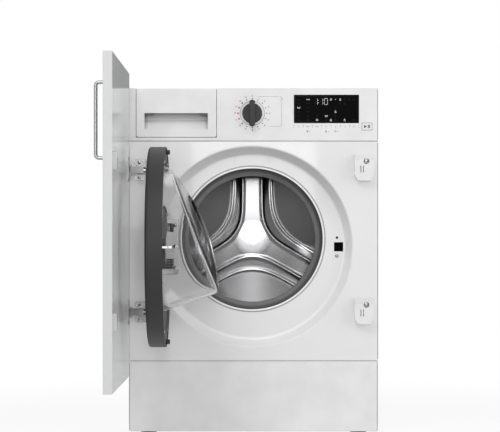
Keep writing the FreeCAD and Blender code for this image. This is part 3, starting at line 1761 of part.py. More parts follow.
def carve_lobe(body, bearing, offset, bend, span):
    """Sink one lobe between two arms of the star, with a round inner corner and sloping walls."""
    reach = DRUM_RADIUS * 1.3
    centre = polar((offset + bend) / math.sin(math.radians(60.0)), bearing)
    near = []
    far = []
    for lean in (-60.0, 60.0):
        side = polar(bend, bearing + lean * 2.5)
        along = polar(reach, bearing + lean)
        aside = polar(offset, bearing - lean / 2)
        near.append((centre[0] + side[0], centre[1] + side[1]))
        far.append((along[0] + aside[0], along[1] + aside[1]))
    points = [near[0], far[0], polar(reach * 2, bearing), far[1], near[1]]
    spots = [Vector(x.value, y.value, 0) for x, y in points]
    sketch = new_sketch(body, "XZ", span[0])
    for n in range(4):
        sketch.addGeometry(Part.LineSegment(spots[n], spots[n + 1]), False)
    ring = Part.Circle(Vector(centre[0].value, centre[1].value, 0), Vector(0, 0, 1), bend.value)
    angles = (math.radians(bearing + 150.0), math.radians(bearing + 210.0))
    sketch.addGeometry(Part.ArcOfCircle(ring, *angles), False)
    for n in range(5):
        sketch.addConstraint(Sketcher.Constraint("Coincident", n, 2, (n + 1) % 5, 1))
        pin(sketch, n, 1, points[n])
    size = sketch.addConstraint(Sketcher.Constraint("Radius", 4, bend.value))
    sketch.setExpression(f"Constraints[{size}]", bend.formula)
    feature = body.newObject("PartDesign::Pocket", body.Name + "_lobe")
    feature.Profile = sketch
    drive(feature, "Length", span[1] - span[0])
    drive(feature, "TaperAngle", -S.lobe_taper)


def arm_room(name, bearing, half, reach, span):
    """The hollow behind one arm of the star."""
    outline = []
    for radius, lean in ((0.0, -half), (reach, -half), (reach, half), (0.0, half)):
        along = polar(radius, bearing)
        aside = polar(lean, bearing + 90.0)
        outline.append((MIDDLE + along[0] + aside[0], MOUTH_HEIGHT + along[1] + aside[1]))
    return pad(name, "XZ", outline, span)


def make_drum_back():
    """The pressed back of the drum: stepped lobes leave a three-armed star with a domed boss."""
    outer = DRUM_RADIUS - S.drum_gauge
    floor = DRUM_FLOOR
    step = floor + S.step_depth
    lobe = step + S.lobe_depth
    body = turn(
        "back_pressing",
        "Y",
        MOUTH,
        [
            (0.0, floor),
            (outer, floor),
            (outer, DRUM_EDGE),
            (0.0, DRUM_EDGE),
        ],
    )
    for bearing in LOBES:
        carve_lobe(body, bearing, S.step_offset, S.step_round, (floor, step))
        carve_lobe(body, bearing, S.lobe_offset, S.lobe_round, (step, lobe))
    ball = (S.boss_radius * S.boss_radius + S.boss_rise * S.boss_rise) / (2 * S.boss_rise)
    sphere = doc.addObject("Part::Sphere", "back_sphere")
    drive(sphere, "Radius", ball)
    place(sphere, MIDDLE, floor - S.boss_rise + ball, MOUTH_HEIGHT)
    cap = rod("back_cap", "Y", MOUTH, S.boss_radius, (floor - S.boss_rise - 1, step + 0.5))
    boss = shared("back_boss", sphere, cap)
    behind = lobe + S.back_gauge
    rooms = [rod("back_room", "Y", MOUTH, outer - S.back_rim, (behind, DRUM_EDGE + 1))]
    rooms.append(rod("back_boss_room", "Y", MOUTH, S.boss_radius - 8, (floor + S.back_gauge, behind + 1)))
    for n, bearing in enumerate(ARMS):
        reach = outer - S.back_rim - 6
        inner = (floor + S.back_gauge, behind + 1)
        wider = (step + S.back_gauge, behind + 1)
        rooms.append(arm_room(f"back_arm_room_{n}", bearing, S.step_offset - 4, reach, inner))
        rooms.append(arm_room(f"back_step_room_{n}", bearing, S.lobe_offset - 4, reach, wider))
    node("drum_back", minus("drum_back", plus("back_whole", body, boss), *rooms))


def make_spider():
    """The three-armed spider behind the drum and the shaft that it carries."""
    hub = 42.0
    y = (DRUM_EDGE + S.seat_gap, TUB_BACK - S.tub_wall - 2)
    points = []
    for bearing in ARMS:
        arm = polar(DRUM_RADIUS - 2, bearing)
        side = polar(14.0, bearing - 90.0)
        points.append((arm[0] + side[0], arm[1] + side[1]))
        points.append((arm[0] - side[0], arm[1] - side[1]))
        points.append(polar(hub, bearing + 60.0))
    star = pad("spider_star", "XZ", points, y)
    place(star, MIDDLE, 0.0, MOUTH_HEIGHT)
    shaft = rod("spider_shaft", "Y", MOUTH, S.shaft_radius, (y[0], PULLEY_LEVEL + S.pulley_width))
    node("drum_spider", plus("drum_spider", star, shaft))
    rings_made = []
    hub_end = TUB_BACK + S.hub_length
    for n, low in enumerate((TUB_BACK + 3, hub_end - S.bearing_width)):
        rings_made.append(
            tube(
                f"bearing_{n}",
                "Y",
                MOUTH,
                S.bearing_radius,
                S.shaft_radius + S.run_clear,
                (low, low + S.bearing_width),
            )
        )
    node("drum_bearings", together("drum_bearings", *rings_made))


def make_pulley():
    """The spoked belt pulley on the drum shaft, and the belt."""
    low = PULLEY_LEVEL
    high = low + S.pulley_width
    middle = low + S.pulley_width / 2
    body = turn(
        "drum_pulley",
        "Y",
        MOUTH,
        [
            (S.shaft_radius, low),
            (30.0, low),
            (30.0, middle - 2),
            (S.pulley_radius - 5, middle - 2),
            (S.pulley_radius - 5, low),
            (S.pulley_radius, low),
            (S.pulley_radius, high),
            (S.pulley_radius - 5, high),
            (S.pulley_radius - 5, middle + 2),
            (30.0, middle + 2),
            (30.0, high),
            (S.shaft_radius, high),
        ],
    )
    ring = (S.pulley_radius - 5 + 30) / 2
    windows = [polar(ring, 60.0 * n) for n in range(6)]
    drill(body, "XZ", windows, 32.0, (middle - 3, middle + 3))
    node("drum_pulley", body)
    gap = S.seat_gap
    large = S.pulley_radius + gap
    small = S.motor_pulley + gap
    span = (low + 2, high - 2)
    motor = (S.motor_x, MOTOR_HEIGHT)
    across = S.motor_x - MIDDLE
    down = MOTOR_HEIGHT - MOUTH_HEIGHT
    length = root(across * across + down * down)
    loops = []
    for name, extra in (("belt_outside", S.belt_gauge), ("belt_inside", 0.0)):
        ends = (
            rod(name + "_large", "Y", MOUTH, large + extra, span),
            rod(name + "_small", "Y", motor, small + extra, span),
        )
        web = belt_web(name, large + extra, small + extra, length, (across, down), span)
        loops.append(plus(name, web, *ends))
    node("drive_belt", minus("drive_belt", *loops))


def belt_web(name, large, small, length, heading, span):
    """The straight runs of a belt loop, as the figure between the tangent points."""
    ahead = (heading[0] / length, heading[1] / length)
    aside = (-ahead[1], ahead[0])
    lean = (large - small) / length
    rise = root(1.0 - lean * lean)
    points = []
    for sign in (1.0, -1.0):
        ends = []
        for radius, along in ((large, 0.0), (small, length)):
            forward = along + radius * lean
            sideways = sign * radius * rise
            ends.append(
                (
                    MIDDLE + forward * ahead[0] + sideways * aside[0],
                    MOUTH_HEIGHT + forward * ahead[1] + sideways * aside[1],
                )
            )
        points.extend(ends if sign > 0 else reversed(ends))
    return pad(name + "_web", "XZ", points, span)


def make_motor():
    """The drive motor under the tub and its rotor with the small pulley."""
    centre = (S.motor_x, MOTOR_HEIGHT)
    front = MOTOR_FRONT
    back = front + S.motor_length
    radius = S.motor_radius
    shaft = S.motor_shaft + S.run_clear
    body = turn(
        "motor_can",
        "Y",
        centre,
        [
            (shaft, front),
            (radius - 14, front),
            (radius, front + 14),
            (radius, back - 14),
            (radius - 14, back),
            (shaft, back),
            (shaft, back - 12),
            (42.0, back - 16),
            (42.0, front + 16),
            (shaft, front + 12),
        ],
    )
    lugs = []
    for n, y in enumerate((front + 30, back - 50)):
        lugs.append(
            block(
                f"motor_lug_{n}",
                (S.motor_x - 22, S.motor_x + 22),
                (y, y + 20),
                (MOTOR_HEIGHT + radius - 6, MOUTH_HEIGHT - S.tub_radius + 40),
            )
        )
    seat = rod("motor_seat", "Y", MOUTH, S.tub_radius + S.seat_gap, (front, back))
    cradle = minus("motor_cradle", together("motor_lugs", *lugs), seat)
    node("motor_body", plus("motor_body", body, cradle))
    axle = rod("rotor_shaft", "Y", centre, S.motor_shaft, (front - 6, PULLEY_LEVEL + S.pulley_width))
    core = rod("rotor_core", "Y", centre, 40.0, (front + 24, back - 24))
    wheel = rod(
        "rotor_wheel",
        "Y",
        centre,
        S.motor_pulley,
        (PULLEY_LEVEL, PULLEY_LEVEL + S.pulley_width),
    )
    node("motor_rotor", plus("motor_rotor", axle, core, wheel))


def biarc(start, heading, end, leaving):
    """Two arcs that leave a point along one direction and reach another along a second."""
    across = end - start
    total = heading + leaving
    square = 2.0 * (1.0 - heading.dot(leaving))
    reach = across.dot(total)
    step = (math.sqrt(reach * reach + square * across.dot(across)) - reach) / square
    middle = (start + end + (heading - leaving) * step) * 0.5
    arcs = []
    for point, direction, other, flip in ((start, heading, middle, False), (end, leaving, middle, True)):
        chord = other - point
        normal = chord - direction * chord.dot(direction)
        normal.normalize()
        radius = chord.dot(chord) / (2.0 * chord.dot(normal))
        centre = point + normal * radius
        outward = (point - centre) + (other - centre)
        outward.normalize()
        top = centre + outward * radius
        ends = (other, point) if flip else (point, other)
        arcs.append(Part.Arc(ends[0], top, ends[1]).toShape())
    return arcs


def make_coil(name, centre, span):
    """A coil spring, as one pipe of an eight-sided wire on biarcs of half a turn."""
    radius = S.spring_radius.value
    wire = S.spring_wire.value
    turns = int(S.spring_turns.value)
    low, high = (size.value + sign * wire for size, sign in zip(span, (1.0, -1.0)))
    rise = (high - low) / (turns * 2.0 * math.pi)
    points = []
    for n in range(2 * turns + 1):
        angle = n * math.pi
        spot_now = Vector(radius * math.cos(angle), radius * math.sin(angle), low + rise * angle)
        heading = Vector(-radius * math.sin(angle), radius * math.cos(angle), rise)
        heading.normalize()
        points.append((spot_now, heading))
    edges = []
    for (start, heading), (end, leaving) in zip(points, points[1:]):
        edges.extend(biarc(start, heading, end, leaving))
    path = Part.Wire(edges)
    outward = Vector(1.0, 0.0, 0.0)
    upward = points[0][1].cross(outward)
    corners = []
    for n in range(9):
        angle = n * math.pi / 4.0
        aside = outward * (wire * math.cos(angle))
        above = upward * (wire * math.sin(angle))
        corners.append(points[0][0] + aside + above)
    section = Part.makePolygon(corners)
    coil = doc.addObject("Part::Feature", name)
    coil.Shape = path.makePipeShell([section], True, False)
    gap = rise * 2.0 * math.pi - 2.0 * wire
    print(f"{name}: least gap between turns {gap:.2f} mm")
    return place(coil, centre[0], centre[1], 0.0)


def make_suspension():
    """The crossbar, the two springs that hang the tub from it and the two dampers below."""
    high = TOP - GAUGE - S.seat_gap
    low = high - S.bar_height
    y = (SPRING_Y - S.bar_width / 2, SPRING_Y + S.bar_width / 2)
    side = HALF - GAUGE - S.seat_gap
    bar = pad(
        "bar_channel",
        "YZ",
        [
            (y[0], high),
            (y[0], low),
            (y[1], low),
            (y[1], high),
            (y[1] - 2, high),
            (y[1] - 2, low + 2),
            (y[0] + 2, low + 2),
            (y[0] + 2, high),
        ],
        (-side, side),
    )
    holes = []
    pieces = []
    ear_top = EAR_LEVEL + S.ear_height
    plug = S.spring_radius - S.spring_wire - S.seat_gap
    seat = S.spring_radius + S.spring_wire
    for n, sign in enumerate((-1, 1)):
        x = MIDDLE + sign * SPRING_OFFSET
        centre = (x, SPRING_Y)
        holes.append(rod(f"bar_hole_{n}", "Z", centre, 5.0, (low - 1, low + 3)))
        coil = (ear_top + 30, low - 20)
        upper = turn(
            f"spring_upper_{n}",
            "Z",
            centre,
            [
                (0.0, coil[1] - 12),
                (plug, coil[1] - 12),
                (plug, coil[1] + S.seat_gap),
                (seat, coil[1] + S.seat_gap),
                (seat, coil[1] + 5),
                (4.0, coil[1] + 5),
                (4.0, low + 2),
                (9.0, low + 2),
                (9.0, low + 8),
                (0.0, low + 8),
            ],
        )
        lower = turn(
            f"spring_lower_{n}",
            "Z",
            centre,
            [
                (0.0, EAR_LEVEL - 8),
                (9.0, EAR_LEVEL - 8),
                (9.0, EAR_LEVEL - S.seat_gap),
                (4.0, EAR_LEVEL - S.seat_gap),
                (4.0, coil[0] - 5),
                (seat, coil[0] - 5),
                (seat, coil[0] - S.seat_gap),
                (plug, coil[0] - S.seat_gap),
                (plug, coil[0] + 12),
                (0.0, coil[0] + 12),
            ],
        )
        pieces.extend((upper, make_coil(f"spring_coil_{n}", centre, coil), lower))
    node("spring_crossbar", minus("spring_crossbar", bar, *holes))
    node("suspension_springs", together("suspension_springs", *pieces))
    make_dampers()


def make_dampers():
    """The two friction dampers: cylinders on the base pan and rods on the tub."""
    floor = S.base_level + S.pan_wall
    room = S.damper_radius - 3
    cylinders = []
    rods = []
    for n, sign in enumerate((-1, 1)):
        x = MIDDLE + sign * DAMPER_OFFSET
        centre = (x, DAMPER_Y)
        cylinders.append(
            turn(
                f"damper_cylinder_{n}",
                "Z",
                centre,
                [
                    (0.0, floor),
                    (S.damper_radius + 10, floor),
                    (S.damper_radius + 10, floor + 3),
                    (S.damper_radius, floor + 10),
                    (S.damper_radius, S.damper_top),
                    (S.damper_rod + S.seat_gap, S.damper_top),
                    (S.damper_rod + S.seat_gap, S.damper_top - 4),
                    (room, S.damper_top - 4),
                    (room, floor + 8),
                    (0.0, floor + 8),
                ],
            )
        )
        rise = root(S.tub_radius * S.tub_radius - DAMPER_OFFSET * DAMPER_OFFSET)
        touch = MOUTH_HEIGHT - rise
        stem = rod(f"damper_stem_{n}", "Z", centre, S.damper_rod, (floor + 40, touch - 20))
        piston = rod(f"damper_piston_{n}", "Z", centre, room - S.seat_gap, (floor + 40, floor + 62))
        head = block(
            f"damper_head_{n}",
            (x - 18, x + 18),
            (DAMPER_Y - 14, DAMPER_Y + 14),
            (touch - 26, touch + 30),
        )
        seat = rod(
            f"damper_seat_{n}",
            "Y",
            MOUTH,
            S.tub_radius + S.seat_gap,
            (DAMPER_Y - 15, DAMPER_Y + 15),
        )
        rods.append(plus(f"damper_rod_{n}", stem, piston, minus(f"damper_foot_{n}", head, seat)))
    node("damper_cylinders", together("damper_cylinders", *cylinders))
    node("damper_rods", together("damper_rods", *rods))


def make_drying():
    """The drying air path on the tub: condenser, fan, heater channel and outlet."""
    wall = S.duct_wall
    x = (S.duct_left, S.duct_left + S.duct_width)
    z = (DUCT_FOOT, DUCT_FOOT + S.duct_height)
    fan_front = FAN_Y - S.fan_radius - S.fan_gap - 30
    front = S.tub_front
    drop = (S.duct_left, S.duct_left + 56)
    outlet = VENT_HEIGHT
    channel = block("duct_channel", x, (front - 28, fan_front), z)
    leg = block("duct_leg", drop, (front - 28, front - S.seat_gap), (outlet - 20, z[1]))
    channel_room = block(
        "duct_channel_room",
        grow(x, -wall),
        (front - 28 + wall, fan_front + 1),
        grow(z, -wall),
    )
    leg_room = block(
        "duct_leg_room",
        grow(drop, -wall),
        (front - 28 + wall, front - S.seat_gap - wall),
        (outlet - 20 + wall, z[1] - wall),
    )
    mouth = rod("duct_mouth", "Y", (drop[0] + 28, outlet), S.vent_radius, (front - 10, front + 1))
    supply = minus("duct_supply", plus("duct_outside", channel, leg), channel_room, leg_room, mouth)
    under = z[0] - S.seat_gap
    column_x = (x[1] - 40, x[1] + 20)
    column_y = (TUB_BACK + S.seat_gap, TUB_BACK + 40)
    low = MOUTH_HEIGHT - 130
    column = block("condenser_column", column_x, column_y, (low, under))
    head_x = (S.fan_x - 48, column_x[1])
    head_y = (FAN_Y - 48, column_y[1])
    head = block("condenser_head", head_x, head_y, (under - 20, under))
    column_room = block(
        "condenser_room",
        grow(column_x, -wall),
        grow(column_y, -wall),
        (low + wall, under - wall),
    )
    head_room = block(
        "condenser_head_room",
        grow(head_x, -wall),
        grow(head_y, -wall),
        (under - 20 + wall, under - wall),
    )
    eye = rod("condenser_eye", "Z", (S.fan_x, FAN_Y), 40.0, (under - wall - 1, under + 1))
    back_duct = minus(
        "duct_condenser",
        plus("condenser_outside", column, head),
        column_room,
        head_room,
        eye,
    )
    node("dryer_ducts", together("dryer_ducts", supply, back_duct))
    make_dryer_heater(x, z, fan_front)
    make_fan(x, z, fan_front)


def make_dryer_heater(x, z, fan_front):
    """The finned heating rods in the heater channel, on a plate in its floor."""
    floor = z[0] + S.duct_wall
    middle = floor + (S.duct_height - 2 * S.duct_wall) / 2
    start = fan_front - S.warm_inset
    rods = []
    for n in range(2):
        across = x[0] + S.duct_width * (0.34 + 0.32 * n)
        rods.append(rod(f"warm_rod_{n}", "Y", (across, middle), 4.0, (start, start + S.warm_length)))
    fins = []
    for n in range(9):
        fin_y = start + 6 + 13 * n
        height = (floor + S.seat_gap, middle + 13)
        fins.append(block(f"warm_fin_{n}", grow(x, -S.duct_wall - 6), (fin_y, fin_y + 1.2), height))
    node("dryer_heater", plus("dryer_heater", *rods, *fins))


def make_fan(x, z, fan_front):
    """The scroll housing of the drying fan with its motor, and the bladed wheel."""
    wall = S.duct_wall
    centre = (S.fan_x, FAN_Y)
    outer = S.fan_radius + S.fan_gap + wall
    scroll = rod("fan_scroll", "Z", centre, outer, z)
    throat = block("fan_throat", x, (fan_front + S.seat_gap, FAN_Y), z)
    scroll_room = rod("fan_scroll_room", "Z", centre, outer - wall, grow(z, -wall))
    throat_room = block("fan_throat_room", grow(x, -wall), (fan_front - 1, FAN_Y), grow(z, -wall))
    eye = rod("fan_eye", "Z", centre, 38.0, (z[0] - 1, z[0] + wall + 1))
    motor = rod("fan_motor", "Z", centre, 30.0, (z[1], z[1] + 20))
    bore = rod("fan_bore", "Z", centre, S.fan_shaft + S.run_clear, (z[1] - wall - 1, z[1] + 16))
    outside = plus("fan_outside", scroll, throat, motor)
    node("fan_housing", minus("fan_housing", outside, scroll_room, throat_room, eye, bore))
    low = z[0] + wall + 3
    high = z[1] - wall - 3
    disc = rod("fan_disc", "Z", centre, S.fan_radius, (high - 2, high))
    hub = rod("fan_hub", "Z", centre, 12.0, (low + 6, high))
    axle = rod("fan_axle", "Z", centre, S.fan_shaft, (high - 4, z[1] + 14))
    blades = []
    for n in range(16):
        blade = block(f"fan_blade_{n}", (0.0, 16.0), (-0.8, 0.8), (low, high - 1))
        angle = 22.5 * n
        point = polar(S.fan_radius - 18, angle)
        place(blade, S.fan_x + point[0], FAN_Y + point[1], low, Rotation(Vector(0, 0, 1), angle + 28.0))
        blades.append(blade)
    node("fan_wheel", plus("fan_wheel", disc, hub, axle, *blades))


def make_pump():
    """The drain pump with its filter tube towards the front, and the filter cap."""
    centre = (S.pump_x, S.pump_height)
    radius = S.filter_radius
    wall = S.filter_wall
    front = S.filter_front
    back = front + S.filter_length
    sleeve = rod("pump_sleeve", "Y", centre, radius, (front, back))
    scroll = rod("pump_scroll", "Y", centre, radius + 6, (back, back + 30))
    motor = block(
        "pump_motor",
        (S.pump_x - 28, S.pump_x + 28),
        (back + 30, back + 84),
        (S.pump_height - 28, S.pump_height + 28),
    )
    inlet = rod(
        "pump_inlet",
        "Z",
        (S.pump_x, S.sump_y),
        S.sump_radius,
        (S.pump_height, S.pump_height + radius + 14),
    )
    outlet = rod(
        "pump_outlet",
        "X",
        (back + 15, S.pump_height + 20),
        11.0,
        (S.pump_x - radius - 34, S.pump_x),
    )
    stand = block(
        "pump_stand",
        (S.pump_x - 24, S.pump_x + 24),
        (back - 20, back + 60),
        (S.base_level + S.pan_wall, S.pump_height),
    )
    outside = plus("pump_outside", sleeve, scroll, motor, inlet, outlet, stand)
    bore = rod("pump_bore", "Y", centre, radius - wall, (front - 1, back + 24))
    inlet_bore = rod(
        "pump_inlet_bore",
        "Z",
        (S.pump_x, S.sump_y),
        S.sump_radius - 3,
        (S.pump_height, S.pump_height + radius + 15),
    )
    outlet_bore = rod(
        "pump_outlet_bore",
        "X",
        (back + 15, S.pump_height + 20),
        8.0,
        (S.pump_x - radius - 35, S.pump_x),
    )
    node("drain_pump", minus("drain_pump", outside, bore, inlet_bore, outlet_bore))
    fit = radius - wall - S.run_clear
    cap = turn(
        "cap_body",
        "Y",
        centre,
        [
            (0.0, front - 5),
            (radius + 2, front - 5),
            (radius + 2, front - S.seat_gap),
            (fit, front - S.seat_gap),
            (fit, front + 14),
            (0.0, front + 14),
        ],
    )
    bar = pad(
        "cap_bar",
        "XZ",
        rectangle(
            (S.pump_x - radius * 0.7, S.pump_x + radius * 0.7),
            (S.pump_height - 4, S.pump_height + 4),
        ),
        (front - 14, front - 5),
    )
    soften(bar, 2.0, lies("Y", front - 14))
    node("filter_cap", plus("filter_cap", cap, bar))


def make_services():
    """What comes through the back: water inlet, drain outlet and the mains gland."""
    height = VALVE_HEIGHT
    inside = BACK_INSIDE - S.seat_gap
    outside = BACK + S.seat_gap
    thread = rod("valve_thread", "Y", (VALVE_X, height), S.valve_thread, (outside, BACK + 14))
    neck = rod("valve_neck", "Y", (VALVE_X, height), S.valve_thread - 0.8, (inside - 6, outside))
    body = rod("valve_body", "Y", (VALVE_X, height), S.valve_thread + 4, (inside - 30, inside))
    magnet = block(
        "valve_magnet",
        (VALVE_X - 14, VALVE_X + 14),
        (inside - 30, inside - 6),
        (height - 48, height),
    )
    spigot = rod("valve_spigot", "Y", (VALVE_X, height), 6.0, (inside - 50, inside - 30))
    whole = plus("valve_whole", thread, neck, body, magnet, spigot)
    bore = rod("valve_bore", "Y", (VALVE_X, height), S.valve_thread - 3.5, (inside - 2, BACK + 15))
    node("inlet_valve", minus("inlet_valve", whole, bore))
    spout = rod("outlet_spout", "Y", (OUTLET_X, height), S.outlet_radius, (outside, BACK + 24))
    pipe = rod("outlet_pipe", "Y", (OUTLET_X, height), S.outlet_radius - 0.8, (inside - 40, outside))
    collar = rod("outlet_collar", "Y", (OUTLET_X, height), S.outlet_radius + 5, (inside - 8, inside))
    drain = rod("outlet_bore", "Y", (OUTLET_X, height), S.outlet_radius - 2.5, (inside - 41, BACK + 25))
    node("drain_outlet", minus("drain_outlet", plus("outlet_whole", spout, pipe, collar), drain))
    sleeve = S.gland_bore + 4
    gland = turn(
        "mains_gland",
        "Y",
        (GLAND_X, height),
        [
            (S.gland_bore, inside - 14),
            (sleeve + 4, inside - 14),
            (sleeve + 4, inside),
            (sleeve, inside),
            (sleeve, outside),
            (sleeve + 3, outside),
            (sleeve + 1, BACK + 9),
            (S.gland_bore, BACK + 9),
        ],
    )
    node("mains_gland", gland)


def check_and_write():
    """Recompute, check every object and write the sub-parts."""
    doc.recompute()
    bad = []
    for feature in doc.Objects:
        if "Invalid" in feature.State or "Error" in feature.State:
            bad.append(f"{feature.Label}: {feature.State}")
    for feature in NODES:
        shape = feature.Shape
        if shape.isNull() or not shape.isValid() or not shape.Solids:
            bad.append(f"{feature.Label}: shape not valid")
    if bad:
        raise RuntimeError("; ".join(bad))
    os.makedirs("parts", exist_ok=True)
    for feature in NODES:
        feature.Shape.exportStep(f"parts/{feature.Label}.step")
    print(f"{len(NODES)} sub-parts written")


def main():
    """Build the machine."""
    sides = (make_side("left_side", -1), make_side("right_side", 1))
    node("side_panels", together("side_panels", *sides))
    make_back()
    make_top()
    make_base()
    make_front()
    make_plinth()
    make_fascia()
    make_controls()
    make_dispenser()
    make_catches()
    make_leaf_arms()
    make_cups()
    make_pins()
    make_leaf()
    make_porthole()
    make_gasket()
    make_tub()
    make_weights()
    make_heater()
    make_drum()
    make_motor()
    make_suspension()
    make_drying()
    make_pump()
    make_services()
    check_and_write()


main()
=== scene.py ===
"""Looks of a built-in washer dryer: finishes, printing, fasteners and stage round its solids."""
import json
import logging
import math
from collections.abc import Callable
from dataclasses import dataclass, field
from enum import Enum

import bmesh
import bpy
from mathutils import Matrix, Vector


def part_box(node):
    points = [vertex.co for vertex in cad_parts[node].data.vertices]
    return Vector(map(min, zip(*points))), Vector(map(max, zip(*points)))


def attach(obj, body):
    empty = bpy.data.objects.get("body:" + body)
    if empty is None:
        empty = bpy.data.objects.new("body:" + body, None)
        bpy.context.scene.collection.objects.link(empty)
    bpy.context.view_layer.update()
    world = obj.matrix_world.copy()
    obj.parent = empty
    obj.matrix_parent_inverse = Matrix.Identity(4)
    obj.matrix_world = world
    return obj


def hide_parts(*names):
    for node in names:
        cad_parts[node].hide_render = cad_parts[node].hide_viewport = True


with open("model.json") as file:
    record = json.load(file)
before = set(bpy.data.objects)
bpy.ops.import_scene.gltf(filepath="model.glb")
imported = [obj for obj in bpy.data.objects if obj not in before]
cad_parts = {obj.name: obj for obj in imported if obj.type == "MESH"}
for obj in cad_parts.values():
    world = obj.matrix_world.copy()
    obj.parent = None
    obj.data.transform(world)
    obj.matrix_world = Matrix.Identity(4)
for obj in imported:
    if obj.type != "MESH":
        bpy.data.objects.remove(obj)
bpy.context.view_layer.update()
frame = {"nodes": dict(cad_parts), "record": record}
LOG = logging.getLogger("washer_dryer")

Colour = tuple[float, float, float]
Point = tuple[float, float, float]
Flat = tuple[float, float]
Seat = tuple[Vector, Vector]
MM = 0.001
UPRIGHT = math.radians(90.0)
AHEAD, BACK, LEFT = (0.0, 1.0, 0.0), (0.0, -1.0, 0.0), (-1.0, 0.0, 0.0)
FILM = 0.08  # how far a print stands before its face, in millimetres
PANEL = -0.1  # where the printing on the flat panel lies along y, in millimetres
START = -60.0  # where a line into the machine starts along y, in millimetres
WHITE = (0.83, 0.83, 0.832)
CLOUD = (0.3, 0.7)  # the part of a noise that a soft cloud spreads over


def math_node(operation: str, turned: bool = False) -> "Callable[..., Value]":
    """Make a method that joins two numbers in one Math node.

    Args:
        operation: The Math node's operation.
        turned: Whether the method's own number comes second.

    Returns:
        The method.
    """

    def method(self: "Value", other: "Value | float" = 0.0) -> "Value":
        """This number joined with another one."""
        return self.join(operation, other, self) if turned else self.join(operation, self, other)

    return method


class Value:
    """A number socket of a node tree that adds Math nodes when it is used in an expression."""

    def __init__(self, graph: "Graph", socket: bpy.types.NodeSocket) -> None:
        """Hold a socket.

        Args:
            graph: The tree that the socket belongs to.
            socket: The output that carries the number.
        """
        self.graph = graph
        self.socket = socket

    def join(self, operation: str, first: "Value | float", second: "Value | float") -> "Value":
        """Add one Math node.

        Args:
            operation: The Math node's operation.
            first: Its first number.
            second: Its second number.

        Returns:
            The node's result.
        """
        made = self.graph.node("ShaderNodeMath", {"operation": operation}, {0: first, 1: second})
        return Value(self.graph, made.outputs[0])

    __add__ = math_node("ADD")
    __radd__ = math_node("ADD", turned=True)
    __sub__ = math_node("SUBTRACT")
    __rsub__ = math_node("SUBTRACT", turned=True)
    __mul__ = math_node("MULTIPLY")
    __rmul__ = math_node("MULTIPLY", turned=True)
    __truediv__ = math_node("DIVIDE")
    __rtruediv__ = math_node("DIVIDE", turned=True)
    __gt__ = math_node("GREATER_THAN")
    power = math_node("POWER")
    exponential = math_node("EXPONENT")
    least = math_node("MINIMUM")
    most = math_node("MAXIMUM")
    remainder = math_node("MODULO")
    cosine = math_node("COSINE")
    sine = math_node("SINE")

    def logarithm(self) -> "Value":
        """The natural logarithm."""
        return self.join("LOGARITHM", self, math.e)

    def length(self, other: "Value") -> "Value":
        """How long the flat vector of this number and another one is."""
        return (self * self + other * other).power(0.5)

    def eased(self, low: float, high: float) -> "Value":
        """A smooth step.

        Args:
            low: Where the step leaves zero.
            high: Where it reaches one.

        Returns:
            The eased number.
        """
        made = self.graph.node(
            "ShaderNodeMapRange",
            {"interpolation_type": "SMOOTHSTEP"},
            {"Value": self, "From Min": low, "From Max": high},
        )
        return Value(self.graph, made.outputs["Result"])


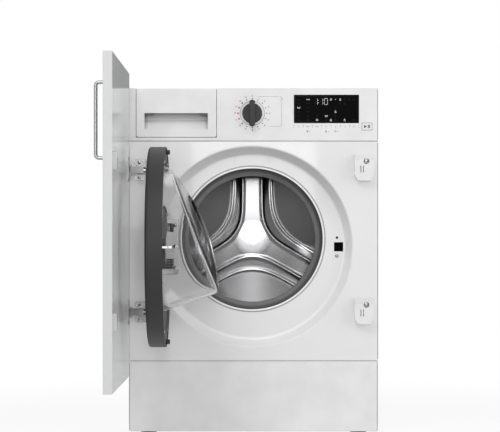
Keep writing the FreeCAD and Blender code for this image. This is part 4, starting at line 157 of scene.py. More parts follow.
class Graph:
    """A shader or geometry tree that is being written."""

    def __init__(self, tree: bpy.types.NodeTree) -> None:
        """Empty the tree.

        Args:
            tree: The tree to write.
        """
        self.tree = tree
        tree.nodes.clear()

    def node(
        self, kind: str, settings: dict | None = None, inputs: dict | None = None
    ) -> bpy.types.Node:
        """Add a node.

        Args:
            kind: The node's type.
            settings: Its properties, set first.
            inputs: Numbers, colours or links by the name or place of the socket.

        Returns:
            The new node.
        """
        made = self.tree.nodes.new(kind)
        for name, setting in (settings or {}).items():
            setattr(made, name, setting)
        for name, given in (inputs or {}).items():
            source = given.socket if isinstance(given, Value) else given
            if isinstance(source, bpy.types.NodeSocket):
                self.tree.links.new(source, made.inputs[name])
            else:
                made.inputs[name].default_value = source
        return made

    def number(
        self,
        kind: str,
        settings: dict | None = None,
        inputs: dict | None = None,
        out: str | int = 0,
    ) -> Value:
        """Add a node and take one number from it.

        Args:
            kind: The node's type.
            settings: Its properties.
            inputs: Its inputs.
            out: The output's name or place.

        Returns:
            The wrapped output.
        """
        return Value(self, self.node(kind, settings, inputs).outputs[out])

    def parts(self, vector: bpy.types.NodeSocket) -> list[Value]:
        """A vector's three numbers."""
        split = self.node("ShaderNodeSeparateXYZ", inputs={0: vector})
        return [Value(self, socket) for socket in split.outputs]

    def spot(self) -> list[Value]:
        """The three object coordinates, in metres."""
        return self.parts(self.node("ShaderNodeTexCoord").outputs["Object"])

    def from_axis(self, axis: Flat) -> list[Value]:
        """How far right of and above a level axis along y the place lies, in metres."""
        x, _, z = self.spot()
        return [x - axis[0], z - axis[1]]

    def vector(self, *numbers: "Value | float") -> bpy.types.NodeSocket:
        """A vector of three numbers, or of one number three times."""
        along = numbers if len(numbers) > 1 else numbers * 3
        return self.node("ShaderNodeCombineXYZ", inputs=dict(enumerate(along))).outputs[0]

    def place(self, stretch: Point) -> bpy.types.NodeSocket:
        """Object coordinates, stretched along each axis."""
        inputs = {"Vector": self.node("ShaderNodeTexCoord").outputs["Object"], "Scale": stretch}
        return self.node("ShaderNodeMapping", inputs=inputs).outputs["Vector"]

    def noise(self, scale: float, detail: float = 2.0, stretch: Point = (1.0, 1.0, 1.0)) -> Value:
        """A noise over object coordinates.

        Args:
            scale: Waves per metre.
            detail: Octaves of finer noise.
            stretch: The scale along each axis.

        Returns:
            The noise, around one half.
        """
        inputs = {"Vector": self.place(stretch), "Scale": scale, "Detail": detail}
        return self.number("ShaderNodeTexNoise", inputs=inputs, out="Fac")

    def cells(self, scale: float) -> bpy.types.Node:
        """A cell pattern over object coordinates, with this many cells per metre."""
        inputs = {"Vector": self.place((1.0, 1.0, 1.0)), "Scale": scale}
        return self.node("ShaderNodeTexVoronoi", inputs=inputs)

    def blend(self, share: "Value | float", first: object, second: object) -> bpy.types.NodeSocket:
        """A mix of two colours.

        Args:
            share: How much of the second.
            first: A colour or a link.
            second: A colour or a link.

        Returns:
            The colour socket.
        """
        sides = [(*side, 1.0) if isinstance(side, tuple) else side for side in (first, second)]
        inputs = {0: share, 6: sides[0], 7: sides[1]}
        return self.node("ShaderNodeMix", {"data_type": "RGBA"}, inputs).outputs[2]

    def bump(self, height: Value, depth: float) -> bpy.types.NodeSocket:
        """A bump of some depth in metres that feeds a shader's normal."""
        inputs = {"Height": height, "Distance": depth}
        return self.node("ShaderNodeBump", inputs=inputs).outputs["Normal"]

    def seen(self) -> Value:
        """Which rays the eye follows: straight ones, and those off a gloss or through glass.

        Returns:
            One for such a ray, zero for others.
        """
        path = self.node("ShaderNodeLightPath")
        followed = Value(self, path.outputs["Is Camera Ray"])
        for ray in ("Is Glossy Ray", "Is Transmission Ray"):
            followed = followed.most(Value(self, path.outputs[ray]))
        return followed


@dataclass(frozen=True)
class Finish:
    """A plain finish: the shader's constant sockets, and what changes over the surface."""

    colour: Colour
    roughness: float = 0.4
    metallic: float = 0.0
    coat: float = 0.0
    specular: float = 0.5
    name: str = field(default="", init=False)

    def __set_name__(self, owner: type, name: str) -> None:
        """Take the name under which the palette lists this finish."""
        object.__setattr__(self, "name", name)

    def sockets(self) -> dict:
        """The shader's constant sockets.

        Returns:
            Values by the name of the socket.
        """
        return {
            "Base Color": (*self.colour, 1.0),
            "Roughness": self.roughness,
            "Metallic": self.metallic,
            "Coat Weight": self.coat,
            "Coat Roughness": 0.04,
            "Specular IOR Level": self.specular,
        }

    def material(self) -> bpy.types.Material:
        """The finish as a material, made once.

        Returns:
            The material.
        """
        title = self.name + "_finish"
        found = bpy.data.materials.get(title)
        if found:
            return found
        made = bpy.data.materials.new(title)
        made.use_nodes = True
        graph = Graph(made.node_tree)
        shader = graph.node("ShaderNodeBsdfPrincipled", inputs=self.sockets())
        for name, source in self.vary(graph).items():
            socket = source.socket if isinstance(source, Value) else source
            graph.tree.links.new(socket, shader.inputs[name])
        graph.node("ShaderNodeOutputMaterial", inputs={"Surface": shader.outputs[0]})
        return made

    def shade(self, amount: float) -> Colour:
        """The colour made lighter or darker.

        Args:
            amount: A factor on each channel.

        Returns:
            The new colour.
        """
        return tuple(min(1.0, channel * amount) for channel in self.colour)

    def mottle(self, graph: Graph, share: Value, dark: float, light: float) -> bpy.types.NodeSocket:
        """The colour between a darker and a lighter shade of itself."""
        return graph.blend(share, self.shade(dark), self.shade(light))

    def vary(self, graph: Graph) -> dict:
        """What changes over the surface.

        Args:
            graph: The material's tree.

        Returns:
            Links by the name of the shader's socket.
        """
        cloud = graph.noise(9.0)
        return {"Base Color": self.mottle(graph, cloud.eased(*CLOUD), 0.97, 1.02)}


@dataclass(frozen=True)
class Enamel(Finish):
    """Sprayed enamel on steel, with a faint orange peel and a drift in its gloss."""

    peel: float = 0.00002

    def vary(self, graph: Graph) -> dict:
        """Peel, drift of the gloss and a hardly seen cloud in the colour.

        Args:
            graph: The material's tree.

        Returns:
            Links by the name of the shader's socket.
        """
        cloud = graph.noise(5.0)
        skin = graph.noise(420.0, 1.0)
        gloss = cloud * 0.03 + (self.roughness - 0.015)
        return {
            "Base Color": self.mottle(graph, cloud.eased(*CLOUD), 0.992, 1.006),
            "Roughness": gloss,
            "Normal": graph.bump(skin, self.peel),
        }


@dataclass(frozen=True)
class Dished(Enamel):
    """The front panel's enamel, with a tone along the dish that matches the light in the photo."""

    axis: Flat = (-0.003, 0.447)
    wall: Flat = (0.220, 0.240)
    soft: float = 0.002
    foot: float = 0.004
    low: Flat = (-0.06, 0.12)
    high: Flat = (0.02, 0.2)
    # Colour factors: painted light on the lower wall, painted shade in the upper dish and on the
    # panel above it.
    tones: Point = (1.17, 0.8, 0.95)

    def vary(self, graph: Graph) -> dict:
        """The enamel's peel and drift under painted light on the dish's lower wall and painted shade
        on its upper part and on the panel above it.

        Args:
            graph: The material's tree.

        Returns:
            Links by the name of the shader's socket.
        """
        made = super().vary(graph)
        across, above = graph.from_axis(self.axis)
        radius = across.length(above)
        inside = 1.0 - radius.eased(self.wall[1] - self.soft, self.wall[1] + self.soft)
        wall = inside * radius.eased(self.wall[0] - self.foot, self.wall[0] + self.soft)
        low = 1.0 - above.eased(*self.low)
        high = above.eased(*self.high)
        tone = made["Base Color"]
        # Painted light on the dish's lower wall, painted shade in its upper part and on the panel
        # above it.
        shares = (wall * low, inside * high, high * (1.0 - inside))
        for share, amount in zip(shares, self.tones):
            tone = graph.blend(share, tone, self.shade(amount))
        return {**made, "Base Color": tone}


@dataclass(frozen=True)
class Moulded(Finish):
    """A moulding with a fine spark-eroded grain."""

    grain: float = 900.0
    relief: float = 0.00003

    def vary(self, graph: Graph) -> dict:
        """Grain in the relief, and a soft cloud in colour and gloss.

        Args:
            graph: The material's tree.

        Returns:
            Links by the name of the shader's socket.
        """
        cloud = graph.noise(14.0)
        grain = graph.noise(self.grain, 3.0)
        return {
            "Base Color": self.mottle(graph, cloud.eased(*CLOUD), 0.96, 1.03),
            "Roughness": cloud * 0.1 + (self.roughness - 0.05),
            "Normal": graph.bump(grain, self.relief),
        }


@dataclass(frozen=True)
class Gripped(Moulded):
    """The drawer's moulding, with a tone in its grip that matches the shade in the photo."""

    across: Flat = (-0.260, -0.109)
    upright: Flat = (0.726, 0.766)
    inward: Flat = (0.001, 0.005)
    corner: float = 0.010
    weights: Flat = (0.68, 0.4)
    # Colour factor of the painted shade in the grip.
    deep: float = 0.22

    def vary(self, graph: Graph) -> dict:
        """The moulding's grain under a shade that gathers at the top and the ends of the grip.

        Args:
            graph: The material's tree.

        Returns:
            Links by the name of the shader's socket.
        """
        made = super().vary(graph)
        side, depth, level = graph.spot()
        half = (self.across[1] - self.across[0]) / 2
        from_middle = side - (self.across[0] + half)
        ends = (from_middle * from_middle).power(0.5).eased(half - self.corner, half)
        top = level.eased(*self.upright)
        inside = depth.eased(*self.inward)
        # Painted shade: the colour darkens towards the top and the ends of the recess.
        shade = (top * top * self.weights[0] + ends * self.weights[1]).least(1.0)
        made["Base Color"] = graph.blend(shade * inside, made["Base Color"], self.shade(self.deep))
        return made


@dataclass(frozen=True)
class Brushed(Finish):
    """Metal with fine strokes along one axis."""

    along: Point = (1.0, 1.0, 1.0)
    stroke: float = 0.00001

    def vary(self, graph: Graph) -> dict:
        """Strokes in colour, gloss and relief, and a slow cloud over them.

        Args:
            graph: The material's tree.

        Returns:
            Links by the name of the shader's socket.
        """
        strokes = graph.noise(700.0, 3.0, self.along)
        cloud = graph.noise(12.0)
        tone = strokes * 0.6 + cloud * 0.4
        return {
            "Base Color": self.mottle(graph, tone.eased(*CLOUD), 0.93, 1.06),
            "Roughness": strokes * (self.roughness * 0.5) + self.roughness * 0.75,
            "Normal": graph.bump(strokes, self.stroke),
        }


@dataclass(frozen=True)
class Galvanised(Finish):
    """Zinc-coated sheet with its spangle."""

    def vary(self, graph: Graph) -> dict:
        """Crystals that differ in tone and gloss.

        Args:
            graph: The material's tree.

        Returns:
            Links by the name of the shader's socket.
        """
        cells = graph.cells(75.0)
        colour = {"Color": cells.outputs["Color"]}
        tone = graph.number("ShaderNodeSeparateColor", inputs=colour, out="Red")
        haze = graph.noise(160.0, 3.0)
        mixed = tone * 0.7 + haze * 0.3
        return {
            "Base Color": self.mottle(graph, mixed, 0.84, 1.1),
            "Roughness": mixed * 0.16 + (self.roughness - 0.08),
        }


@dataclass(frozen=True)
class Cast(Finish):
    """A bare casting or cast block: pitted, with a grainy skin."""

    grit: float = 260.0
    relief: float = 0.0003

    def vary(self, graph: Graph) -> dict:
        """Pits and grains in the relief and the colour.

        Args:
            graph: The material's tree.

        Returns:
            Links by the name of the shader's socket.
        """
        grains = graph.noise(self.grit, 5.0)
        pits = Value(graph, graph.cells(self.grit * 0.4).outputs["Distance"])
        skin = grains * 0.7 + pits.eased(0.0, 0.35) * 0.3
        return {
            "Base Color": self.mottle(graph, skin.eased(0.2, 0.8), 0.8, 1.12),
            "Roughness": grains * 0.2 + (self.roughness - 0.1),
            "Normal": graph.bump(skin, self.relief),
        }


@dataclass(frozen=True)
class Rubber(Finish):
    """Seal rubber with a dusty bloom."""

    def vary(self, graph: Graph) -> dict:
        """Bloom in the colour, and a fine skin.

        Args:
            graph: The material's tree.

        Returns:
            Links by the name of the shader's socket.
        """
        bloom = graph.noise(30.0, 4.0)
        skin = graph.noise(600.0, 2.0)
        return {
            "Base Color": self.mottle(graph, bloom.eased(0.35, 0.75), 0.9, 1.15),
            "Roughness": bloom * 0.16 + (self.roughness - 0.08),
            "Normal": graph.bump(skin, 0.00002),
        }


@dataclass(frozen=True)
class Clear(Finish):
    """Clear or smoked glass and plastic."""

    index: float = 1.5
    glint: float = 1.0

    def sockets(self) -> dict:
        """The constant sockets, with light let through."""
        own = {"Transmission Weight": 1.0, "IOR": self.index}
        return {**super().sockets(), **own, "Specular Tint": (*[self.glint] * 3, 1.0)}

    def vary(self, graph: Graph) -> dict:
        """Hardly seen smears in the gloss."""
        smear = graph.noise(22.0, 3.0, (1.0, 1.0, 0.3))
        return {"Roughness": smear.eased(0.45, 0.8) * 0.006 + self.roughness}


@dataclass(frozen=True)
class Folded(Rubber):
    """Door seal rubber, with painted shade in the groove behind its lip and the lip itself paler."""

    axis: Flat = (-0.003, 0.465)
    lip: Flat = (0.159, 0.164)
    # Colour factor of the painted shade in the groove.
    deep: float = 0.42

    def vary(self, graph: Graph) -> dict:
        """The rubber's bloom under painted shade in the groove, set by the distance from the mouth's
        axis.

        Args:
            graph: The material's tree.

        Returns:
            Links by the name of the shader's socket.
        """
        made = super().vary(graph)
        across, above = graph.from_axis(self.axis)
        groove = across.length(above).eased(*self.lip)
        # Painted shade in the groove behind the lip.
        made["Base Color"] = graph.blend(groove, made["Base Color"], self.shade(self.deep))
        return made


@dataclass(frozen=True)
class Pressed(Brushed):
    """Polished sheet with the drum back's pressed form: painted highlights on its beads and hub,
    painted shade on its lobes.
    """

    # Colour factors: painted shade on the lobes, painted highlight on the beads and on the hub.
    dull: float = 0.72
    bright: float = 1.5
    pale: float = 5.4

    def vary(self, graph: Graph) -> dict:
        """The strokes of the sheet under painted highlights on its beads and hub and painted shade on
        its lobes.

        Args:
            graph: The material's tree.

        Returns:
            Links by the name of the shader's socket.
        """
        made = super().vary(graph)
        marks = {
            name: graph.number("ShaderNodeAttribute", {"attribute_name": name})
            for name in ("bead", "lobe", "hub")
        }
        # Painted shade on the lobes and the lower bands, painted highlight on the hub and on the
        # beads.
        tone = graph.blend(marks["lobe"], made["Base Color"], self.shade(self.dull))
        tone = graph.blend(marks["hub"], tone, self.shade(self.pale))
        made["Base Color"] = graph.blend(marks["bead"], tone, self.shade(self.bright))
        made["Roughness"] = made["Roughness"] + marks["lobe"] * 0.1
        return made


@dataclass(frozen=True)
class Ink(Finish):
    """Screen printing: flat, a little uneven in its cover."""

    def vary(self, graph: Graph) -> dict:
        """A fine unevenness of the cover."""
        cover = graph.noise(300.0, 2.0)
        return {"Base Color": self.mottle(graph, cover.eased(0.35, 0.65), 0.92, 1.06)}


@dataclass(frozen=True)
class Lit(Finish):
    """A lit segment behind black glass."""

    power: float = 1.0

    def sockets(self) -> dict:
        """The constant sockets, with the segment's own light."""
        own = {"Emission Color": (*self.colour, 1.0), "Emission Strength": self.power}
        return {**super().sockets(), **own}


@dataclass(frozen=True)
class Palette:
    """The finishes of the machine, one for each of the record's slots and for the printing."""

    white_enamel: Finish = Enamel(WHITE, 0.34, coat=0.3)
    white_plastic: Finish = Moulded(WHITE, 0.42)
    white_lacquer: Finish = Enamel((0.71, 0.715, 0.715), 0.14, specular=0.08, peel=0.000001)
    galvanised_steel: Finish = Galvanised((0.52, 0.53, 0.55), 0.42, 0.9)
    stainless_steel: Finish = Brushed((0.62, 0.62, 0.63), 0.24, 1.0, along=(1.0, 0.04, 1.0))
    satin_steel: Finish = Brushed((0.36, 0.36, 0.365), 0.3, 1.0, along=(1.0, 1.0, 0.03))
    zinc_steel: Finish = Brushed((0.62, 0.61, 0.60), 0.3, 1.0, along=(0.1, 1.0, 1.0))
    dark_plastic: Finish = Moulded((0.030, 0.030, 0.031), 0.5, specular=0.35, grain=1200.0)
    grey_plastic: Finish = Moulded((0.40, 0.41, 0.42), 0.45)
    smoked_plastic: Finish = Clear((0.28, 0.28, 0.29), 0.02, index=1.48)
    black_glass: Finish = Enamel((0.004, 0.004, 0.0045), 0.12, specular=0.03, peel=0.000001)
    clear_glass: Finish = Clear((0.94, 0.94, 0.94), 0.0, index=1.45, glint=0.25)
    grey_rubber: Finish = Rubber((0.16, 0.16, 0.165), 0.55)
    black_rubber: Finish = Rubber((0.025, 0.025, 0.026), 0.6)
    concrete: Finish = Cast((0.40, 0.39, 0.37), 0.85)
    cast_aluminium: Finish = Cast((0.60, 0.61, 0.62), 0.45, 0.9, grit=420.0, relief=0.00012)
    motor_enamel: Finish = Enamel((0.05, 0.05, 0.055), 0.45)
    board_green: Finish = Moulded((0.02, 0.13, 0.06), 0.4)
    drum_steel: Finish = Brushed((0.52, 0.52, 0.525), 0.28, 1.0, along=(1.0, 0.04, 1.0))
    # Drum back sheet with painted highlights and painted shade.
    pressed_steel: Finish = Pressed((0.112, 0.112, 0.114), 0.11, 1.0, stroke=0.000003)
    # Seal rubber with painted shade in its groove.
    door_seal: Finish = Folded((0.165, 0.165, 0.168), 0.5)
    screw_steel: Finish = Brushed((0.40, 0.395, 0.385), 0.22, 1.0, along=(1.0, 1.0, 0.2))
    # Painted shade: the door's lacquer made darker for the strike plates, whose edges catch more
    # light than the door.
    strike_lacquer: Finish = Enamel((0.61, 0.615, 0.615), 0.14, specular=0.08, peel=0.000001)
    hinge_nickel: Finish = Brushed((0.25, 0.25, 0.252), 0.34, 1.0, along=(1.0, 1.0, 0.1))
    bracket_steel: Finish = Brushed((0.34, 0.34, 0.345), 0.38, 1.0, along=(1.0, 1.0, 0.1))
    knuckle_steel: Finish = Brushed((0.06, 0.06, 0.062), 0.35, 1.0, along=(1.0, 1.0, 0.1))
    # Front enamel with painted light and shade round the dish.
    front_enamel: Finish = Dished(WHITE, 0.34, coat=0.3)
    # Drawer moulding with painted shade in its grip.
    grip_plastic: Finish = Gripped(WHITE, 0.42)
    # Painted highlight: the panel's white enamel made whiter for the rolled rim.
    rim_enamel: Finish = Enamel((0.96, 0.96, 0.96), 0.2, coat=0.5)
    # Grey for the painted shade along the front's edges and for a joint lining.
    edge_grey: Finish = Ink((0.38, 0.38, 0.382), 0.5)
    # Grey for the painted shade in the slits and for a joint lining.
    slit_grey: Finish = Ink((0.60, 0.60, 0.60), 0.5)
    tab_grey: Finish = Moulded((0.10, 0.10, 0.102), 0.5)
    pole_grey: Finish = Moulded((0.30, 0.30, 0.31), 0.5)
    # Near-black painted shade for holes and screw slots.
    pierced: Finish = Moulded((0.012, 0.012, 0.013), 0.6)
    dark_ink: Finish = Ink((0.04, 0.042, 0.048), 0.5)
    pale_ink: Finish = Ink((0.42, 0.43, 0.44), 0.5)
    red_ink: Finish = Ink((0.72, 0.018, 0.03), 0.45)
    screen_black: Finish = Ink((0.004, 0.004, 0.0045), 0.3, specular=0.01)
    dim_segment: Finish = Ink((0.022, 0.022, 0.023), 0.3, specular=0.01)
    lit_segment: Finish = Lit((0.5, 0.51, 0.51), 0.4, power=0.6)


PALETTE = Palette()


def dress_solids() -> None:
    """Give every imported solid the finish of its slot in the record."""
    slots = {row["node"]: row["material_slot"] for row in frame["record"]["subparts"]}
    own = {
        "door_gasket": PALETTE.door_seal,
        "drum_shell": PALETTE.drum_steel,
        "porthole_hinge_bracket": PALETTE.bracket_steel,
        "furniture_hinge_arms": PALETTE.hinge_nickel,
        "hinge_cups": PALETTE.hinge_nickel,
        "hinge_pins": PALETTE.knuckle_steel,
        "strike_plates": PALETTE.strike_lacquer,
        "front_panel": PALETTE.front_enamel,
        "door_lock": PALETTE.screen_black,
        "drawer_front": PALETTE.grip_plastic,
    }
    for node, solid in frame["nodes"].items():
        finish = own.get(node) or getattr(PALETTE, slots[node])
        for place in solid.material_slots:
            place.material = finish.material()
        LOG.info("%s dressed in %s", node, finish.name)


def link(made: bpy.types.Object) -> bpy.types.Object:
    """Put an object into the scene."""
    bpy.context.scene.collection.objects.link(made)
    return made


def settle(piece: bpy.types.Object, body: str) -> bpy.types.Object:
    """Hand a finished piece to the body that carries it.

    Args:
        piece: The piece, with its place in its mesh.
        body: The body that it rides on.

    Returns:
        The same piece.
    """
    link(piece)
    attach(piece, body)
    LOG.info("%s rides on %s", piece.name, body)
    return piece


def surface(node: str, start: Point, aim: Point) -> Seat:
    """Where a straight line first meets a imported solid.

    Args:
        node: The solid's name.
        start: Where the line starts, in millimetres.
        aim: The way it runs.

    Returns:
        The point that it meets, in metres, and the surface's normal there.
    """
    solid = frame["nodes"][node]
    found, place, normal, _ = solid.ray_cast(Vector(start) * MM, Vector(aim))
    if not found:
        raise ValueError(f"nothing of {node} lies ahead of {start}")
    return place, normal


def ahead(node: str, spot: Flat, start: float = START) -> Seat:
    """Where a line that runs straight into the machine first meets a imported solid; see surface."""
    return surface(node, (spot[0], start, spot[1]), AHEAD)


def arc(
    radius: float, start: float, stop: float, steps: int = 12, centre: Flat = (0.0, 0.0)
) -> list[Flat]:
    """Points along a circle.

    Args:
        radius: The circle's radius.
        start: The first bearing in degrees.
        stop: The last bearing in degrees.
        steps: How many runs lie between them.
        centre: The circle's middle.

    Returns:
        The points, in order.
    """
    bearings = [math.radians(start + (stop - start) * n / steps) for n in range(steps + 1)]
    return [(centre[0] + radius * math.cos(b), centre[1] + radius * math.sin(b)) for b in bearings]


def circle(radius: float, sides: int, centre: Flat = (0.0, 0.0)) -> list[Flat]:
    """The corners of a regular polygon, anticlockwise and each once."""
    return arc(radius, 0.0, 360.0 - 360.0 / sides, sides - 1, centre)


class Icon(Enum):
    """Plain signs of the display and the keys, as strokes in a unit square."""

    TUB = "tub"
    SWIRL = "swirl"
    DROP = "drop"
    SUN = "sun"
    CLOCK = "clock"
    LOCK = "lock"
    BARS = "bars"
    DOT = "dot"

    def strokes(self) -> list[list[Flat]]:
        """The sign's strokes.

        Returns:
            The corners of each stroke.
        """
        ring = arc(0.34, 0.0, 360.0, 16)
        drop = arc(0.28, -215.0, 35.0, 14, (0.0, -0.14))
        drawn = {
            Icon.TUB: [
                [(-0.5, 0.3), (-0.36, -0.36), (0.36, -0.36), (0.5, 0.3)],
                [(-0.42, 0.1), (-0.2, 0.02), (0.0, 0.12), (0.2, 0.02), (0.42, 0.1)],
            ],
            Icon.SWIRL: [arc(0.4, 60.0, 330.0), arc(0.2, 240.0, 510.0)],
            Icon.DROP: [[(0.0, 0.46), *drop, (0.0, 0.46)]],
            Icon.SUN: [
                ring,
                [(-0.5, 0.0), (-0.34, 0.0)],
                [(0.34, 0.0), (0.5, 0.0)],
                [(0.0, 0.34), (0.0, 0.5)],
            ],
            Icon.CLOCK: [ring, [(0.0, 0.22), (0.0, 0.0), (0.16, -0.1)]],
            Icon.LOCK: [
                [(-0.32, 0.02), (-0.32, -0.44), (0.32, -0.44), (0.32, 0.02), (-0.32, 0.02)],
                arc(0.2, 0.0, 180.0, 10, (0.0, 0.1)),
            ],
            Icon.BARS: [[(x, -0.22), (x, 0.22)] for x in (-0.5, -0.24, 0.02, 0.28, 0.54)],
            Icon.DOT: [arc(0.08, 0.0, 360.0, 10)],
        }
        return drawn[self]


class Print:
    """Flat printing that faces the viewer, gathered into one mesh; sizes are in millimetres."""

    def __init__(self, level: float) -> None:
        """Start an empty print.

        Args:
            level: Where the print lies along y.
        """
        self.level = level
        self.mesh = bmesh.new()

    @classmethod
    def on(cls, node: str, spot: Flat, lift: float = FILM, start: float = START) -> "Print":
        """Start a print that lies a film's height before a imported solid's face; see ahead."""
        return cls(ahead(node, spot, start)[0].y / MM - lift)

    def shape(self, points: list[Flat]) -> None:
        """Fill an outline that runs anticlockwise."""
        corners = [self.mesh.verts.new((x * MM, self.level * MM, z * MM)) for x, z in points]
        self.mesh.faces.new(corners)

    def box(self, low: Flat, high: Flat) -> None:
        """Fill an upright rectangle."""
        self.shape([low, (high[0], low[1]), high, (low[0], high[1])])

    def disc(self, centre: Flat, radius: float, sides: int = 20) -> None:
        """Fill a circle."""
        self.shape(circle(radius, sides, centre))

    def ring(self, centre: Flat, radius: float, width: float, sides: int) -> None:
        """Draw a whole circle as a line of one width."""
        points = circle(radius, sides, centre)
        self.stroke([*points, points[0]], width)

    def stroke(self, points: list[Flat], width: float) -> None:
        """Draw a line of one width with mitred corners.

        Args:
            points: The line's corners; the same point at both ends closes it.
            width: The line's width.
        """
        closed = points[0] == points[-1]
        spots = [Vector(point) for point in (points[:-1] if closed else points)]
        count = len(spots)
        rails = []
        for n, spot in enumerate(spots):
            back = spots[n - 1] if closed or n else None
            ahead = spots[(n + 1) % count] if closed or n + 1 < count else None
            come = (spot - back).normalized() if back is not None else (ahead - spot).normalized()
            leave = (ahead - spot).normalized() if ahead is not None else come
            across = Vector((-come.y - leave.y, come.x + leave.x)).normalized()
            reach = width / 2 / max(0.35, across.dot(Vector((-come.y, come.x))))
            rails.append((spot + across * reach, spot - across * reach))
        runs = count if closed else count - 1
        for n in range(runs):
            left, right = rails[n]
            next_left, next_right = rails[(n + 1) % count]
            self.shape([tuple(left), tuple(right), tuple(next_right), tuple(next_left)])

    def sign(self, icon: Icon, centre: Flat, size: float, width: float) -> None:
        """Draw a sign.

        Args:
            icon: Which sign.
            centre: Its middle.
            size: The side of its square.
            width: The width of its strokes.
        """
        for run in icon.strokes():
            self.stroke([(centre[0] + x * size, centre[1] + z * size) for x, z in run], width)

    def words(self, text: str, centre: Flat, height: float) -> None:
        """Set figures or a unit in the built-in face.

        Args:
            text: What is set.
            centre: The middle of the line.
            height: The height of the figures.
        """
        curve = bpy.data.curves.new("figures", "FONT")
        curve.body = text
        curve.size = height * MM / 0.7
        curve.align_x = "CENTER"
        curve.align_y = "CENTER"
        curve.resolution_u = 3
        holder = bpy.data.objects.new("figures", curve)
        flat = bpy.data.meshes.new_from_object(holder)
        upright = Matrix.Rotation(UPRIGHT, 4, "X")
        place = Matrix.Translation((centre[0] * MM, self.level * MM, centre[1] * MM))
        flat.transform(place @ upright)
        self.mesh.from_mesh(flat)
        bpy.data.objects.remove(holder)
        bpy.data.curves.remove(curve)
        bpy.data.meshes.remove(flat)

    def piece(self, name: str, finish: Finish, body: str, slot: str) -> bpy.types.Object:
        """Close the print.

        Args:
            name: The piece's name.
            finish: Its finish.
            body: The body that it rides on.
            slot: Not used.

        Returns:
            The finished piece.
        """
        mesh = bpy.data.meshes.new(name)
        self.mesh.to_mesh(mesh)
        self.mesh.free()
        mesh.materials.append(finish.material())
        return settle(bpy.data.objects.new(name, mesh), body)


class Scatter:
    """A Geometry Nodes tree with named inputs, and the plain mesh that it gives."""

    def __init__(self, name: str) -> None:
        """Start a tree.

        Args:
            name: The tree's name.
        """
        self.tree = bpy.data.node_groups.new(name, "GeometryNodeTree")
        self.graph = Graph(self.tree)
        self.values: list[tuple[str, object]] = []
        self.source = self.graph.node("NodeGroupInput")
        kind = "NodeSocketGeometry"
        self.tree.interface.new_socket("Geometry", in_out="OUTPUT", socket_type=kind)
        self.given("Geometry", kind, None)

    def given(self, name: str, kind: str, value: object) -> bpy.types.NodeSocket:
        """Add a named input.

        Args:
            name: The input's name.
            kind: Its socket type.
            value: What the modifier feeds it.

        Returns:
            The socket inside the tree.
        """
        made = self.tree.interface.new_socket(name, in_out="INPUT", socket_type=kind)
        if value is not None:
            self.values.append((made.identifier, value))
        return self.source.outputs[name]

    def number(self, name: str, value: float) -> Value:
        """Add a named number."""
        return Value(self.graph, self.given(name, "NodeSocketFloat", value))

    def count(self, name: str, value: int) -> Value:
        """Add a named whole number."""
        return Value(self.graph, self.given(name, "NodeSocketInt", value))

    def facing(self, aim: bpy.types.NodeSocket) -> bpy.types.NodeSocket:
        """The turn that brings a shape's z axis to an aim."""
        turn = self.graph.node("FunctionNodeAlignRotationToVector", {"axis": "Z"}, {"Vector": aim})
        return turn.outputs[0]

    def moved(self, points: bpy.types.NodeSocket, **shift: object) -> bpy.types.NodeSocket:
        """The geometry with each point moved to a Position or by an Offset."""
        inputs = {"Geometry": points, **shift}
        return self.graph.node("GeometryNodeSetPosition", inputs=inputs).outputs[0]

    def position(self) -> list[Value]:
        """The three coordinates of a point, in metres."""
        return self.graph.parts(self.graph.node("GeometryNodeInputPosition").outputs[0])

    def close(self, points: object, shape: bpy.types.Object, finish: Finish, sockets: dict) -> None:
        """End the tree: a shape on every point, made real and given its finish.

        Args:
            points: The points' geometry socket.
            shape: The shape that is set on them.
            finish: The finish.
            sockets: Further inputs of the Instance on Points node.
        """
        graph = self.graph
        picked = self.given("Shape", "NodeSocketObject", shape)
        info = graph.node("GeometryNodeObjectInfo", inputs={"Object": picked})
        placed = graph.node(
            "GeometryNodeInstanceOnPoints",
            inputs={"Points": points, "Instance": info.outputs["Geometry"], **sockets},
        )
        self.dress(placed.outputs[0], finish)

    def dress(self, source: bpy.types.NodeSocket, finish: Finish) -> None:
        """End the tree: instances made real, and the finish set.

        Args:
            source: The geometry so far.
            finish: The finish.
        """
        graph = self.graph
        dress = self.given("Finish", "NodeSocketMaterial", finish.material())
        real = graph.node("GeometryNodeRealizeInstances", inputs={"Geometry": source})
        inputs = {"Geometry": real.outputs[0], "Material": dress}
        dressed = graph.node("GeometryNodeSetMaterial", inputs=inputs)
        graph.node("NodeGroupOutput", inputs={"Geometry": dressed.outputs[0]})

    def piece(self, name: str, carrier: bpy.types.Mesh) -> bpy.types.Object:
        """Run the tree on a carrier and keep the plain result.

        Args:
            name: The piece's name.
            carrier: The mesh that the tree starts from.

        Returns:
            A plain mesh object.
        """
        holder = link(bpy.data.objects.new(name + "_carrier", carrier))
        modifier = holder.modifiers.new("scatter", "NODES")
        modifier.node_group = self.tree
        for identifier, value in self.values:
            modifier[identifier] = value
        ready = holder.evaluated_get(bpy.context.evaluated_depsgraph_get())
        mesh = bpy.data.meshes.new_from_object(ready)
        mesh.name = name
        holder.modifiers.remove(modifier)
        bpy.data.objects.remove(holder)
        return bpy.data.objects.new(name, mesh)


